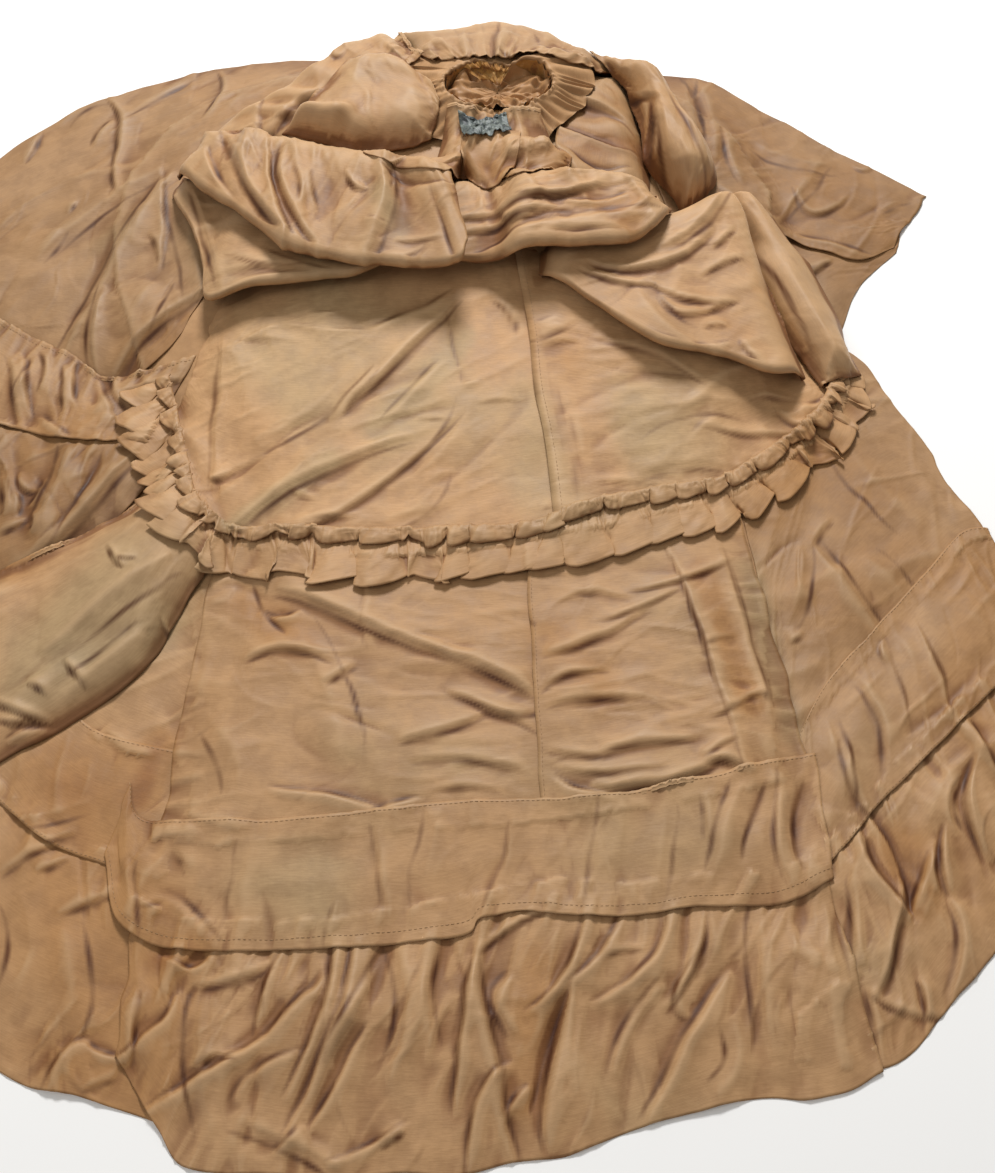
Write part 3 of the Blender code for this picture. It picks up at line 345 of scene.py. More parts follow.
# What sets some pieces apart: the kind, the arch in mm, the share of the ribs that the piece takes, and the
# form or folds that it shares with another piece.
KIND = {
    "apron_frill": "frill", "swag_under_left": "wing", "wing_right": "wing",
    "swag_right": "swag", "swag_left": "swag",
}
ARCH = {
    "side_strip_left": 6, "side_fold_right": 12, "puff_back": 10, "puff_left": 12, "puff_right": 24,
    "knot": 5, "shell_left": 14,
}
SHARE = {
    "front_panel_left": (0, 0.5), "front_panel_right": (0.5, 1), "apron_left": (0, 6 / 11),
    "apron_right": (6 / 11, 1),
}
FORM = {
    "drape_right_lower": "drape_right", "front_panel_left": "front_panel",
    "front_panel_right": "front_panel", "apron_left": "apron", "apron_right": "apron",
}

# Puckers that run out from a sewn edge. Columns: piece, edge, spacing, height, reach in mm, slant.
PUCKERS = (
    ("train_flounce_left", "back", 22, 2.4, 60, 0.2), ("train_flounce_right", "back", 14, 3.2, 70, 0.3),
    ("front_flounce", "back", 14, 3.2, 60, -0.3), ("front_panel_left", "front", 34, 1.6, 26, 0.0),
    ("front_panel_right", "front", 30, 1.6, 26, 0.0), ("front_band", "back", 30, 1.4, 24, 0.1),
    ("drape_left_frill", "back", 13, 3.0, 46, 0.1), ("apron_left", "front", 16, 1.8, 20, 0.0),
    ("apron_right", "front", 16, 1.8, 20, 0.0), ("knot", "back", 10, 2.2, 30, 0.3),
    ("swag_left", "back", 16, 3.0, 60, 0.2), ("swag_right", "back", 18, 3.0, 40, -0.3),
    ("shell_left", "front", 12, 1.6, 26, 0.2), ("puff_back", "front", 9, 3.4, 55, 0.1),
    ("swag_right", "back", 13, 3.4, 60, 0.2), ("swag_left", "back", 16, 3.6, 90, 0.1),
    ("puff_left", "front", 10, 3.0, 60, 0.0),
)

# Main creases of each piece, by the photograph's pixels. Columns: x and y of the start, middle and end,
# half width in mm, height in mm, lean: the side that falls sharply, 1 the right hand of the way, -1 the left.
CREASES = {
    "apron_left": (
        (346, 404, 392, 358, 449, 305, 11, 6.5, 0.7), (374, 327, 413, 316, 452, 294, 7, 3.5, -0.5),
        (226, 519, 300, 472, 396, 437, 13, 6.5, 0.6), (262, 525, 352, 496, 448, 415, 8, 4.5, 0.8),
        (390, 418, 420, 385, 442, 361, 8, 3.5, -0.5), (330, 412, 348, 400, 372, 372, 7, 3.0, 0.5),
        (206, 468, 218, 470, 232, 464, 6, 3.5, 0.8), (290, 483, 302, 488, 316, 490, 4, 2.0, 0.6),
        (444, 313, 454, 350, 461, 383, 5, -1.6, 0.4), (461, 384, 470, 383, 482, 383, 4, 1.4, -0.5),
        (416, 414, 432, 413, 448, 414, 4, 1.8, 0.5), (478, 402, 498, 398, 518, 400, 4, 1.8, 0.5),
        (290, 323, 332, 329, 376, 328, 4, 1.7, -0.6), (296, 318, 318, 314, 342, 307, 4, 1.6, -0.6),
        (236, 330, 262, 336, 300, 340, 5, 1.4, 0.6), (540, 501, 548, 505, 557, 505, 4, 2.0, 0.5),
        (497, 300, 512, 312, 523, 334, 7, 3.5, 0.6), (222, 336, 218, 400, 212, 470, 9, 3.0, 0.7),
        (250, 440, 310, 410, 352, 366, 18, 4.0, 0.3), (300, 520, 322, 512, 350, 515, 5, 2.2, 0.6),
        (420, 470, 450, 440, 468, 400, 16, 3.0, -0.4), (380, 520, 420, 500, 436, 470, 14, 2.5, 0.4),
    ),
    "apron_right": (
        (523, 336, 545, 331, 574, 315, 7, 4.0, 0.7), (530, 352, 552, 340, 580, 336, 6, 2.4, 0.5),
        (520, 318, 538, 322, 560, 306, 5, 2.2, -0.5), (556, 375, 574, 420, 590, 480, 6, 1.8, 0.6),
        (590, 477, 615, 477, 642, 480, 4, 1.6, 0.5), (562, 507, 592, 500, 640, 501, 5, 2.2, 0.7),
        (585, 330, 650, 346, 702, 378, 7, 3.2, 0.6), (622, 360, 662, 366, 712, 376, 5, 2.0, 0.5),
        (699, 425, 760, 428, 800, 427, 7, 3.2, 0.7), (694, 436, 706, 424, 722, 420, 5, 2.0, -0.5),
        (600, 478, 626, 476, 656, 480, 4, 1.6, 0.4), (752, 392, 772, 387, 802, 390, 5, 2.6, 0.7),
        (640, 420, 700, 400, 760, 404, 20, 3.2, 0.3), (784, 400, 800, 416, 830, 410, 8, 3.5, 0.6),
        (806, 394, 830, 392, 846, 370, 9, 4.0, -0.6), (540, 430, 560, 470, 566, 520, 12, 2.2, -0.3),
        (640, 470, 690, 458, 742, 462, 12, 2.6, 0.5), (528, 345, 530, 385, 545, 430, 8, 2.4, -0.7),
    ),
    "front_panel_left": (
        (286, 592, 352, 616, 444, 650, 15, 8.0, 0.7), (430, 645, 500, 668, 560, 708, 13, 7.0, 0.7),
        (254, 588, 264, 612, 284, 636, 10, -5.5, 0.4), (246, 658, 284, 650, 332, 660, 9, 4.5, 0.7),
        (322, 682, 336, 672, 354, 663, 8, 3.6, 0.6), (262, 612, 282, 622, 300, 615, 7, 4.0, -0.7),
        (275, 790, 326, 796, 378, 811, 8, 5.5, -0.7), (378, 812, 396, 806, 420, 798, 7, 4.5, -0.6),
        (184, 812, 215, 822, 250, 829, 6, 3.0, 0.6), (155, 838, 170, 832, 196, 832, 7, 5.0, 0.8),
        (153, 700, 150, 760, 150, 820, 9, 4.0, -0.8), (204, 566, 182, 626, 164, 700, 12, 4.0, -0.7),
        (400, 735, 440, 730, 480, 712, 9, 4.0, 0.6), (364, 560, 366, 612, 372, 640, 6, 1.8, 0.5),
        (300, 640, 330, 700, 336, 760, 24, 3.5, -0.4), (480, 700, 510, 712, 545, 700, 8, 4.0, 0.6),
        (450, 690, 485, 702, 540, 730, 7, 4.0, 0.6), (416, 760, 470, 758, 520, 770, 8, 3.2, 0.6),
        (430, 790, 460, 784, 500, 790, 6, 2.6, 0.5), (212, 720, 230, 750, 236, 790, 16, 3.0, 0.3),
    ),
    "front_panel_right": (
        (517, 616, 532, 618, 541, 626, 5, 3.0, 0.6), (542, 686, 565, 672, 604, 668, 7, 4.0, 0.7),
        (548, 650, 580, 640, 640, 612, 8, 4.5, 0.6), (552, 700, 600, 692, 652, 700, 8, 4.0, 0.6),
        (600, 617, 638, 607, 674, 590, 5, 3.0, 0.7), (635, 588, 686, 574, 727, 557, 6, 4.0, 0.7),
        (606, 749, 644, 739, 690, 736, 8, 5.0, 0.7), (700, 752, 716, 744, 734, 734, 6, 3.5, 0.6),
        (600, 784, 668, 776, 712, 758, 12, 7.5, 0.8), (706, 758, 730, 756, 748, 770, 10, 6.5, 0.8),
        (552, 775, 575, 790, 604, 794, 8, 5.0, -0.7), (546, 745, 590, 752, 640, 746, 6, 3.0, 0.5),
        (560, 765, 610, 770, 660, 762, 6, 3.2, 0.6), (670, 552, 703, 624, 744, 762, 5, 4.0, 0.95),
        (758, 534, 790, 640, 818, 738, 9, 4.5, 0.95), (726, 556, 752, 640, 770, 700, 6, 3.5, -0.9),
        (709, 712, 730, 704, 752, 692, 5, 2.6, 0.6), (744, 700, 762, 690, 772, 700, 5, 2.4, 0.6),
        (704, 640, 716, 632, 734, 634, 4, 2.0, 0.5), (560, 600, 590, 590, 630, 598, 7, 2.6, 0.5),
    ),
    "front_band": (
        (136, 897, 148, 896, 161, 892, 5, 2.6, 0.7), (163, 893, 190, 914, 212, 942, 10, 4.0, -0.5),
        (338, 899, 332, 920, 326, 942, 5, 2.2, 0.6), (377, 828, 384, 870, 390, 912, 7, 2.6, 0.5),
        (170, 848, 184, 856, 190, 870, 7, 3.0, 0.6), (706, 793, 709, 812, 711, 832, 8, 3.2, 0.5),
        (764, 782, 750, 820, 744, 854, 12, -4.0, 0.3), (740, 786, 728, 820, 716, 866, 12, 4.0, 0.5),
        (803, 782, 798, 820, 806, 856, 9, -5.0, 0.4), (784, 772, 782, 820, 792, 870, 8, 4.0, 0.7),
        (620, 800, 612, 850, 606, 908, 18, 2.6, 0.3), (664, 806, 660, 850, 650, 900, 12, 2.6, -0.4),
        (250, 840, 246, 880, 236, 940, 16, 2.2, 0.4), (440, 810, 430, 850, 424, 900, 14, 2.4, 0.3),
        (126, 860, 124, 900, 130, 936, 10, 4.0, -0.6), (484, 905, 500, 870, 512, 820, 6, 2.4, -0.8),
    ),
    "front_flounce": (
        (584, 914, 570, 968, 532, 1006, 7, 6.5, 0.7), (623, 914, 602, 955, 570, 984, 7, 5.0, 0.6),
        (670, 911, 652, 965, 600, 1003, 8, 5.5, 0.6), (705, 911, 692, 962, 668, 1000, 6, 5.5, -0.7),
        (662, 984, 634, 1026, 618, 1066, 8, 4.0, 0.5), (725, 978, 690, 1040, 652, 1112, 12, 8.5, 0.7),
        (700, 960, 680, 990, 690, 1010, 7, 4.0, 0.6), (570, 1000, 556, 1070, 552, 1138, 20, 10.0, 0.95),
        (572, 980, 548, 1040, 534, 1102, 10, -6.0, 0.3), (472, 966, 490, 1052, 510, 1158, 8, 7.5, -0.5),
        (475, 953, 466, 1025, 455, 1102, 8, 7.5, 0.8), (472, 1166, 480, 1104, 506, 1070, 8, 6.5, -0.7),
        (530, 1084, 520, 1096, 508, 1118, 6, 4.0, 0.6), (396, 948, 410, 1010, 392, 1072, 14, 5.5, 0.4),
        (478, 951, 505, 930, 540, 914, 5, 4.0, 0.6), (604, 956, 620, 950, 640, 949, 4, 2.4, 0.6),
        (768, 902, 764, 960, 774, 1040, 16, 6.0, 0.4), (335, 946, 328, 995, 290, 1082, 9, 8.5, 0.8),
        (356, 944, 340, 1020, 288, 1124, 9, 7.0, 0.7), (380, 962, 354, 1004, 334, 1050, 8, 5.0, 0.6),
        (368, 1032, 336, 1090, 316, 1124, 8, 5.0, 0.7), (318, 978, 262, 1040, 158, 1102, 13, 9.5, 0.8),
        (284, 952, 270, 985, 256, 1025, 6, 4.0, 0.7), (196, 981, 232, 977, 270, 966, 8, 4.0, 0.6),
        (196, 1068, 212, 1057, 236, 1053, 7, 4.5, 0.6), (302, 1050, 262, 1070, 240, 1100, 8, 3.5, 0.6),
        (176, 992, 156, 1025, 116, 1057, 9, 5.0, 0.8), (302, 1121, 290, 1134, 274, 1150, 6, 3.5, 0.6),
        (404, 1124, 372, 1145, 332, 1163, 7, 4.0, 0.6), (380, 1144, 392, 1134, 402, 1126, 6, 3.5, 0.6),
        (166, 957, 188, 966, 209, 958, 6, 4.5, -0.6), (430, 940, 424, 985, 432, 1040, 10, 5.0, -0.5),
        (512, 980, 500, 1000, 520, 1030, 10, 5.0, 0.5), (210, 1000, 200, 1040, 210, 1120, 14, 4.0, 0.3),
        (130, 990, 128, 1030, 124, 1060, 7, 3.5, -0.7), (730, 1020, 742, 1060, 720, 1090, 14, 4.5, 0.4),
        (240, 1120, 300, 1140, 340, 1168, 14, 4.5, 0.5),
    ),
    "train_flounce_right": (
        (873, 816, 898, 856, 912, 914, 9, -14.0, 0.5), (860, 834, 876, 870, 905, 912, 12, 12.0, -0.8),
        (934, 858, 924, 890, 908, 920, 9, 6.0, 0.6), (964, 723, 976, 742, 994, 770, 8, 6.0, -0.8),
        (978, 760, 974, 800, 992, 848, 10, 8.0, 0.8), (949, 828, 944, 862, 953, 892, 7, 6.0, 0.7),
        (938, 840, 934, 866, 940, 890, 5, 4.0, -0.7), (905, 880, 894, 936, 880, 988, 9, 8.0, -0.7),
        (953, 902, 968, 934, 954, 992, 11, 7.0, 0.6), (921, 977, 926, 1000, 930, 1026, 6, 4.0, 0.6),
        (856, 878, 858, 930, 856, 968, 7, 6.0, 0.5), (855, 974, 800, 1026, 733, 1065, 9, 6.0, 0.7),
        (855, 974, 798, 952, 771, 914, 6, 3.6, -0.6), (850, 980, 838, 1015, 850, 1062, 8, 4.5, 0.5),
        (874, 990, 880, 1020, 886, 1062, 6, 4.0, 0.5), (878, 985, 908, 1006, 946, 1016, 6, 3.0, 0.6),
        (960, 776, 950, 800, 960, 830, 8, 5.0, -0.5),
    ),
    "train_band_right": (
        (917, 626, 938, 672, 949, 712, 5, 3.4, -0.7), (861, 684, 884, 716, 890, 766, 10, 5.0, 0.6),
        (849, 742, 856, 782, 883, 810, 9, 5.0, 0.6), (820, 803, 824, 816, 830, 828, 6, 4.0, 0.6),
        (884, 640, 882, 650, 888, 660, 5, 3.0, 0.7), (830, 720, 842, 760, 846, 800, 14, 5.0, -0.5),
        (905, 640, 920, 690, 930, 730, 16, 3.0, 0.3),
    ),
    "train_panel_right": (
        (817, 548, 846, 592, 875, 628, 15, 6.5, -0.6), (788, 618, 800, 588, 802, 550, 14, 5.0, 0.5),
        (812, 545, 820, 530, 832, 520, 7, 3.0, 0.5), (790, 640, 796, 636, 802, 630, 5, 3.0, 0.6),
        (840, 420, 870, 470, 920, 520, 26, 4.0, 0.3), (868, 560, 890, 580, 905, 600, 18, 3.0, -0.3),
    ),
    "train_flounce_left": (
        (45, 1087, 66, 1054, 86, 1044, 9, 6.5, -0.6), (86, 1045, 100, 1056, 120, 1057, 8, 5.5, -0.7),
        (81, 1086, 98, 1080, 116, 1074, 7, 3.0, 0.6), (57, 911, 84, 898, 112, 889, 7, 3.6, 0.6),
        (20, 900, 30, 950, 10, 1010, 22, 5.0, 0.4), (60, 930, 70, 980, 60, 1030, 18, 4.5, -0.4),
        (0, 869, 28, 850, 55, 842, 7, 4.0, 0.6), (38, 869, 50, 862, 67, 857, 6, 3.4, 0.6),
    ),
    "train_panel_left": (
        (100, 730, 78, 746, 45, 770, 7, 3.6, 0.7), (105, 728, 128, 748, 150, 760, 10, 6.0, 0.7),
        (110, 744, 130, 768, 148, 780, 8, 5.0, -0.6), (30, 760, 50, 780, 80, 790, 14, 3.0, 0.4),
    ),
    "train_band_left": (
        (0, 822, 40, 812, 84, 800, 16, 3.4, 0.5), (20, 850, 50, 836, 70, 830, 7, 3.0, 0.6),
    ),
    "side_strip_left": (
        (165, 560, 120, 590, 50, 644, 24, 8.0, -0.4), (64, 659, 76, 672, 87, 684, 5, 3.0, 0.7),
        (27, 680, 38, 686, 49, 694, 5, 3.0, 0.7), (110, 545, 116, 556, 126, 566, 5, 3.0, 0.7),
        (120, 556, 128, 558, 138, 556, 4, 2.4, 0.6), (0, 699, 18, 710, 50, 716, 6, 4.5, 0.6),
        (8, 742, 26, 732, 48, 726, 6, 4.0, -0.6), (0, 718, 14, 722, 30, 716, 5, 3.4, 0.6),
        (140, 636, 110, 655, 70, 690, 14, 4.0, 0.5), (160, 612, 166, 620, 176, 626, 5, 2.4, 0.6),
    ),
    "side_recess_left": (
        (67, 448, 58, 490, 34, 532, 16, 9.0, 0.6), (131, 457, 86, 506, 40, 552, 14, 10.0, -0.7),
        (100, 452, 78, 498, 44, 534, 10, -5.0, 0.4), (21, 473, 24, 488, 39, 490, 7, 5.0, 0.8),
        (3, 482, 8, 500, 5, 516, 6, 5.0, 0.6), (16, 494, 18, 504, 16, 516, 6, 4.5, -0.6),
        (32, 514, 36, 525, 31, 534, 6, 4.5, 0.7), (46, 482, 40, 496, 28, 506, 6, 4.0, 0.7),
        (0, 534, 14, 528, 26, 520, 6, 4.5, 0.6), (56, 520, 40, 546, 10, 566, 10, 5.0, -0.6),
    ),
    "drape_left": (
        (217, 60, 221, 88, 204, 112, 7, 4.5, 0.8), (126, 108, 158, 86, 189, 67, 8, 3.6, 0.6),
        (108, 95, 121, 122, 114, 150, 7, 5.0, 0.7), (116, 148, 113, 166, 117, 183, 5, 3.4, 0.6),
        (96, 138, 102, 128, 110, 118, 6, 3.4, -0.6), (165, 174, 130, 236, 66, 342, 18, 9.5, 0.7),
        (103, 289, 94, 326, 95, 366, 12, 6.5, 0.6), (206, 292, 146, 330, 116, 368, 16, 8.5, -0.75),
        (158, 172, 162, 214, 158, 258, 7, 3.6, -0.6), (150, 228, 158, 240, 160, 256, 5, 3.0, 0.7),
        (47, 240, 96, 204, 156, 171, 20, 5.5, 0.5), (68, 212, 72, 204, 74, 198, 5, 3.0, 0.7),
        (24, 160, 32, 146, 38, 130, 7, 4.0, 0.7), (34, 252, 46, 240, 58, 230, 12, 3.0, 0.4),
        (176, 196, 192, 240, 200, 290, 22, 5.0, 0.4), (60, 120, 80, 100, 110, 92, 16, 3.0, 0.4),
        (130, 66, 160, 58, 190, 62, 10, 3.0, -0.5), (126, 330, 140, 300, 150, 280, 26, 4.0, 0.3),
    ),
    "drape_left_frill": (
        (62, 360, 64, 384, 62, 404, 6, 5.0, 0.7), (72, 356, 70, 376, 72, 398, 6, 4.5, -0.7),
        (108, 352, 112, 372, 118, 396, 6, 5.0, 0.7), (96, 372, 102, 388, 110, 408, 6, 4.0, -0.6),
        (118, 384, 148, 380, 178, 372, 7, 4.0, 0.7), (38, 410, 50, 424, 62, 432, 7, 4.0, -0.6),
        (9, 356, 14, 386, 18, 418, 7, 6.5, 0.6), (20, 352, 22, 380, 28, 408, 7, 6.0, -0.7),
        (30, 348, 24, 366, 14, 392, 7, 5.0, 0.6), (118, 388, 128, 402, 142, 410, 6, 3.6, 0.6),
        (150, 396, 160, 404, 172, 400, 6, 3.0, 0.6), (40, 346, 44, 362, 40, 384, 5, 4.0, 0.6),
    ),
    "drape_right": (
        (799, 181, 816, 204, 847, 191, 7, 3.6, 0.7), (855, 161, 864, 166, 872, 164, 5, 2.4, 0.6),
        (726, 180, 756, 202, 784, 218, 9, 5.5, 0.7), (726, 130, 730, 150, 742, 176, 9, 4.5, 0.6),
        (802, 222, 834, 238, 870, 250, 8, 4.0, -0.6), (690, 72, 690, 104, 700, 140, 12, 5.0, -0.5),
        (694, 66, 712, 100, 716, 150, 18, 6.0, 0.5), (760, 130, 790, 150, 830, 160, 18, 3.4, 0.4),
        (880, 206, 892, 200, 908, 196, 8, 2.6, 0.5), (780, 196, 800, 184, 820, 160, 14, 3.0, 0.4),
    ),
    "drape_right_lower": (
        (770, 228, 782, 226, 800, 230, 5, 2.6, 0.6), (788, 262, 800, 264, 812, 262, 5, 2.6, 0.6),
        (804, 274, 818, 264, 832, 258, 7, 4.5, 0.8), (760, 236, 776, 262, 800, 284, 9, 4.0, 0.6),
    ),
    "side_fold_right": (
        (736, 196, 786, 268, 846, 372, 16, 6.0, 0.3), (742, 262, 770, 308, 800, 352, 9, -6.0, 0.3),
        (806, 338, 808, 362, 802, 388, 7, 4.0, 0.6),
    ),
    "wing_right": (
        (596, 261, 654, 265, 704, 235, 10, 6.0, 0.75), (585, 268, 616, 281, 652, 283, 6, 3.4, 0.6),
        (652, 283, 690, 300, 728, 300, 7, 4.0, 0.7), (663, 296, 680, 311, 716, 310, 6, 3.4, 0.6),
        (560, 292, 620, 326, 668, 342, 12, 5.0, -0.5), (700, 276, 722, 262, 742, 256, 6, 3.2, 0.6),
        (706, 312, 722, 306, 738, 300, 6, 3.0, 0.6), (712, 246, 724, 236, 736, 228, 6, 3.0, 0.6),
        (704, 326, 716, 324, 728, 326, 5, 2.4, 0.5), (690, 344, 706, 346, 730, 344, 5, 2.4, -0.5),
        (640, 290, 660, 320, 690, 340, 20, 4.5, -0.4), (742, 340, 750, 354, 762, 362, 6, 3.0, 0.6),
        (720, 190, 700, 222, 660, 246, 14, 6.0, -0.6),
    ),
    "swag_right": (
        (439, 218, 520, 200, 628, 178, 9, 6.5, 0.7), (451, 238, 510, 226, 566, 212, 8, 5.5, 0.7),
        (460, 276, 512, 236, 652, 214, 12, 8.0, -0.6), (484, 266, 560, 258, 628, 246, 9, 5.0, -0.6),
        (540, 236, 580, 228, 620, 232, 7, 4.0, 0.6), (570, 200, 596, 206, 626, 196, 8, 5.0, -0.6),
        (500, 212, 520, 218, 548, 210, 5, 3.4, 0.6), (520, 195, 548, 200, 570, 190, 6, 4.0, 0.6),
    ),
    "swag_left": (
        (431, 191, 447, 236, 459, 277, 6, -3.0, 0.2), (371, 161, 382, 205, 347, 277, 17, 9.0, -0.5),
        (287, 149, 288, 196, 320, 247, 9, 7.0, 0.7), (271, 161, 274, 204, 292, 246, 8, 6.0, -0.7),
        (226, 120, 256, 196, 312, 266, 10, 7.0, 0.7), (206, 149, 210, 174, 228, 198, 8, 5.0, -0.6),
        (232, 118, 240, 130, 246, 140, 5, 3.4, 0.7), (346, 172, 352, 188, 364, 194, 5, 4.0, 0.8),
        (371, 161, 410, 152, 466, 148, 9, 6.0, -0.6), (379, 162, 412, 182, 450, 186, 7, -4.0, 0.4),
        (390, 172, 396, 182, 392, 192, 5, 2.6, 0.6), (396, 240, 416, 242, 440, 238, 4, 2.4, 0.5),
        (380, 252, 400, 256, 420, 250, 4, 2.4, 0.5), (366, 224, 376, 228, 386, 226, 4, 2.2, -0.5),
        (420, 262, 430, 268, 446, 266, 4, 2.2, 0.5), (300, 170, 304, 190, 300, 206, 5, 3.0, 0.6),
        (310, 176, 312, 196, 318, 214, 5, 2.6, -0.6), (296, 236, 318, 262, 350, 272, 7, 4.0, -0.6),
    ),
    "swag_under_left": (
        (229, 252, 258, 262, 300, 262, 6, 3.0, 0.6), (232, 272, 262, 266, 290, 272, 5, 2.6, 0.6),
        (262, 250, 290, 262, 330, 274, 5, 2.6, -0.6), (196, 196, 210, 240, 222, 290, 10, 4.0, 0.6),
        (232, 286, 280, 276, 340, 282, 6, 2.6, -0.6),
    ),
    "puff_left": (
        (359, 68, 318, 96, 262, 142, 10, -7.0, 0.5), (355, 34, 304, 74, 234, 116, 16, 9.0, 0.5),
        (351, 76, 348, 102, 330, 140, 7, 5.0, 0.7), (338, 90, 330, 112, 322, 136, 6, 3.6, -0.6),
        (272, 124, 300, 102, 340, 88, 9, 5.0, 0.6), (262, 144, 256, 120, 262, 100, 7, 4.0, 0.6),
        (330, 46, 336, 56, 346, 50, 6, 3.4, 0.6), (250, 122, 262, 140, 266, 158, 7, 4.0, -0.6),
    ),
    "shell_left": (
        (366, 70, 372, 74, 376, 84, 4, 1.4, 0.5),
    ),
    "puff_right": (
        (656, 98, 658, 120, 656, 140, 6, 4.0, 0.7), (672, 92, 700, 140, 722, 180, 8, 5.0, 0.6),
        (640, 92, 646, 118, 642, 150, 7, 4.0, -0.6), (664, 110, 672, 150, 690, 196, 8, 3.4, 0.4),
        (624, 80, 640, 84, 660, 96, 6, 3.4, 0.6),
    ),
    "pocket_right": (
        (552, 88, 590, 104, 634, 124, 11, 8.0, 0.7), (548, 120, 588, 142, 634, 149, 10, 8.0, -0.6),
        (532, 124, 558, 152, 582, 178, 9, 6.0, 0.6), (548, 104, 560, 110, 580, 110, 6, 4.0, 0.6),
        (570, 150, 596, 162, 628, 160, 8, -5.0, 0.3),
    ),
    "puff_back": (
        (504, 26, 498, 52, 494, 66, 8, 6.0, 0.6), (500, 52, 520, 62, 534, 78, 7, 5.0, 0.6),
        (540, 48, 560, 56, 580, 62, 8, 5.0, -0.5), (428, 58, 442, 76, 470, 88, 4, 2.4, 0.6),
        (400, 46, 420, 44, 440, 46, 12, 2.4, 0.3), (592, 70, 606, 66, 624, 70, 7, 4.0, 0.6),
        (556, 70, 570, 74, 590, 72, 6, 5.0, 0.6),
    ),
    "knot": (
        (471, 146, 474, 166, 496, 184, 8, 7.0, 0.6), (508, 146, 518, 160, 500, 182, 8, 6.0, -0.6),
        (455, 152, 440, 166, 424, 178, 7, 5.0, 0.6),
    ),
}

# Rolled pieces whose first or last end, 0 or 1, meets the next swag and stays up.
JOINED = {"swag_left": 1, "swag_right": 0}

# Painted light and shade: how much paler than the rest each piece's colour is painted, or, below nought, how much
# darker.
PIECE_PAINTED_LIGHT = {
    "apron_left": 0.17, "apron_right": 0.15, "apron_frill": 0.04, "wing_right": 0.06, "swag_right": 0.04,
    "drape_left": -0.20, "drape_right": -0.27, "side_recess_left": -0.24, "drape_right_lower": -0.30,
    "drape_left_frill": -0.10, "train_panel_right": -0.13, "train_band_right": -0.06, "puff_back": -0.10,
    "puff_right": -0.06, "pocket_right": -0.14,
}

# Soft patches of tone. Columns: x and y of both ends in the photograph's pixels, half width in mm, tone.
TONES = (
    (300, 300, 600, 430, 150, -0.08), (640, 100, 900, 240, 110, 0.12), (860, 470, 960, 640, 110, 0.08),
    (60, 120, 220, 180, 110, 0.07), (20, 960, 90, 1040, 90, 0.10), (60, 830, 150, 900, 60, 0.12),
    (60, 770, 120, 780, 40, 0.14), (20, 470, 60, 470, 60, 0.16), (40, 500, 10, 560, 34, 0.14),
    (120, 560, 60, 640, 34, -0.08), (30, 690, 150, 630, 26, -0.12), (60, 60, 150, 120, 60, -0.04),
    (140, 200, 60, 300, 30, -0.07), (180, 330, 140, 360, 26, 0.16), (250, 360, 300, 420, 40, -0.10),
    (230, 520, 330, 460, 12, -0.12), (470, 340, 380, 430, 14, -0.10), (560, 370, 600, 470, 26, 0.14),
    (480, 320, 500, 370, 20, 0.07), (420, 470, 500, 510, 26, 0.05), (650, 440, 740, 460, 40, -0.03),
    (700, 570, 752, 700, 13, 0.22), (750, 560, 792, 730, 18, -0.14), (240, 600, 300, 640, 20, 0.16),
    (200, 700, 250, 760, 40, 0.04), (560, 640, 600, 690, 22, 0.10), (400, 700, 460, 740, 40, -0.04),
    (160, 740, 140, 800, 12, 0.20), (200, 880, 300, 900, 40, -0.05), (560, 860, 700, 830, 40, -0.03),
    (160, 960, 200, 950, 12, 0.16), (300, 990, 260, 1060, 30, 0.08), (540, 960, 520, 1100, 18, 0.12),
    (600, 1060, 660, 1010, 40, -0.04), (860, 970, 820, 1010, 36, -0.10), (900, 850, 910, 900, 22, 0.20),
    (960, 860, 990, 900, 30, 0.06), (850, 600, 900, 560, 50, 0.02), (930, 620, 850, 760, 24, -0.06),
    (760, 280, 800, 350, 16, 0.16), (860, 190, 900, 210, 40, 0.05), (590, 150, 640, 150, 24, 0.26),
    (560, 110, 600, 130, 14, 0.06), (620, 220, 650, 200, 16, 0.20), (690, 130, 700, 190, 16, -0.06),
    (520, 205, 600, 200, 14, -0.05), (560, 190, 630, 235, 14, 0.14), (380, 200, 400, 230, 14, -0.12),
    (300, 190, 310, 220, 20, 0.05), (460, 70, 420, 50, 20, 0.06), (470, 160, 520, 176, 12, 0.18),
    (540, 340, 620, 360, 30, 0.06), (700, 300, 740, 330, 24, 0.10),
)

# Stitched lines. Columns: piece, edge, how far in from it in mm.
SEAMS = (
    ("front_band", "back", 3.0), ("front_band", "front", 9.0), ("train_band_right", "back", 3.0),
    ("train_band_right", "front", 3.0), ("train_band_left", "back", 3.0), ("train_band_left", "front", 3.0),
    ("apron_right", "start", 2.5), ("front_panel_right", "start", 2.5), ("drape_left_frill", "back", 4.0),
)

# Small loops of the knot, laid on it. Columns: name, ribs, arch in mm.
LOOPS = (
    ("knot_loop_right", 6), ("knot_petal_left", 5), ("knot_middle", 7),
)

WAIST_CENTRE = (0.0, 0.566)
WAIST_FOOT = 0.0605
WAIST_HEIGHT = 0.037
# The band's oval. Columns: angle in degrees, radius, rise of its top edge, in mm.
WAIST_OVAL = (
    (0, 60, 0), (40, 52, 2), (90, 35, 4), (140, 52, 3), (180, 60, 1), (220, 48, -4), (270, 30, -7), (320, 48, -4),
)


def put(name, data):
    """An object of the scene, at the origin."""
    obj = bpy.data.objects.new(name, data)
    bpy.context.scene.collection.objects.link(obj)
    return obj


def padded(relief):
    """The relief's grids with their edges repeated for the turned edges of the cloth."""
    return {key: np.pad(values, 2, mode="edge") for key, values in relief.items()}


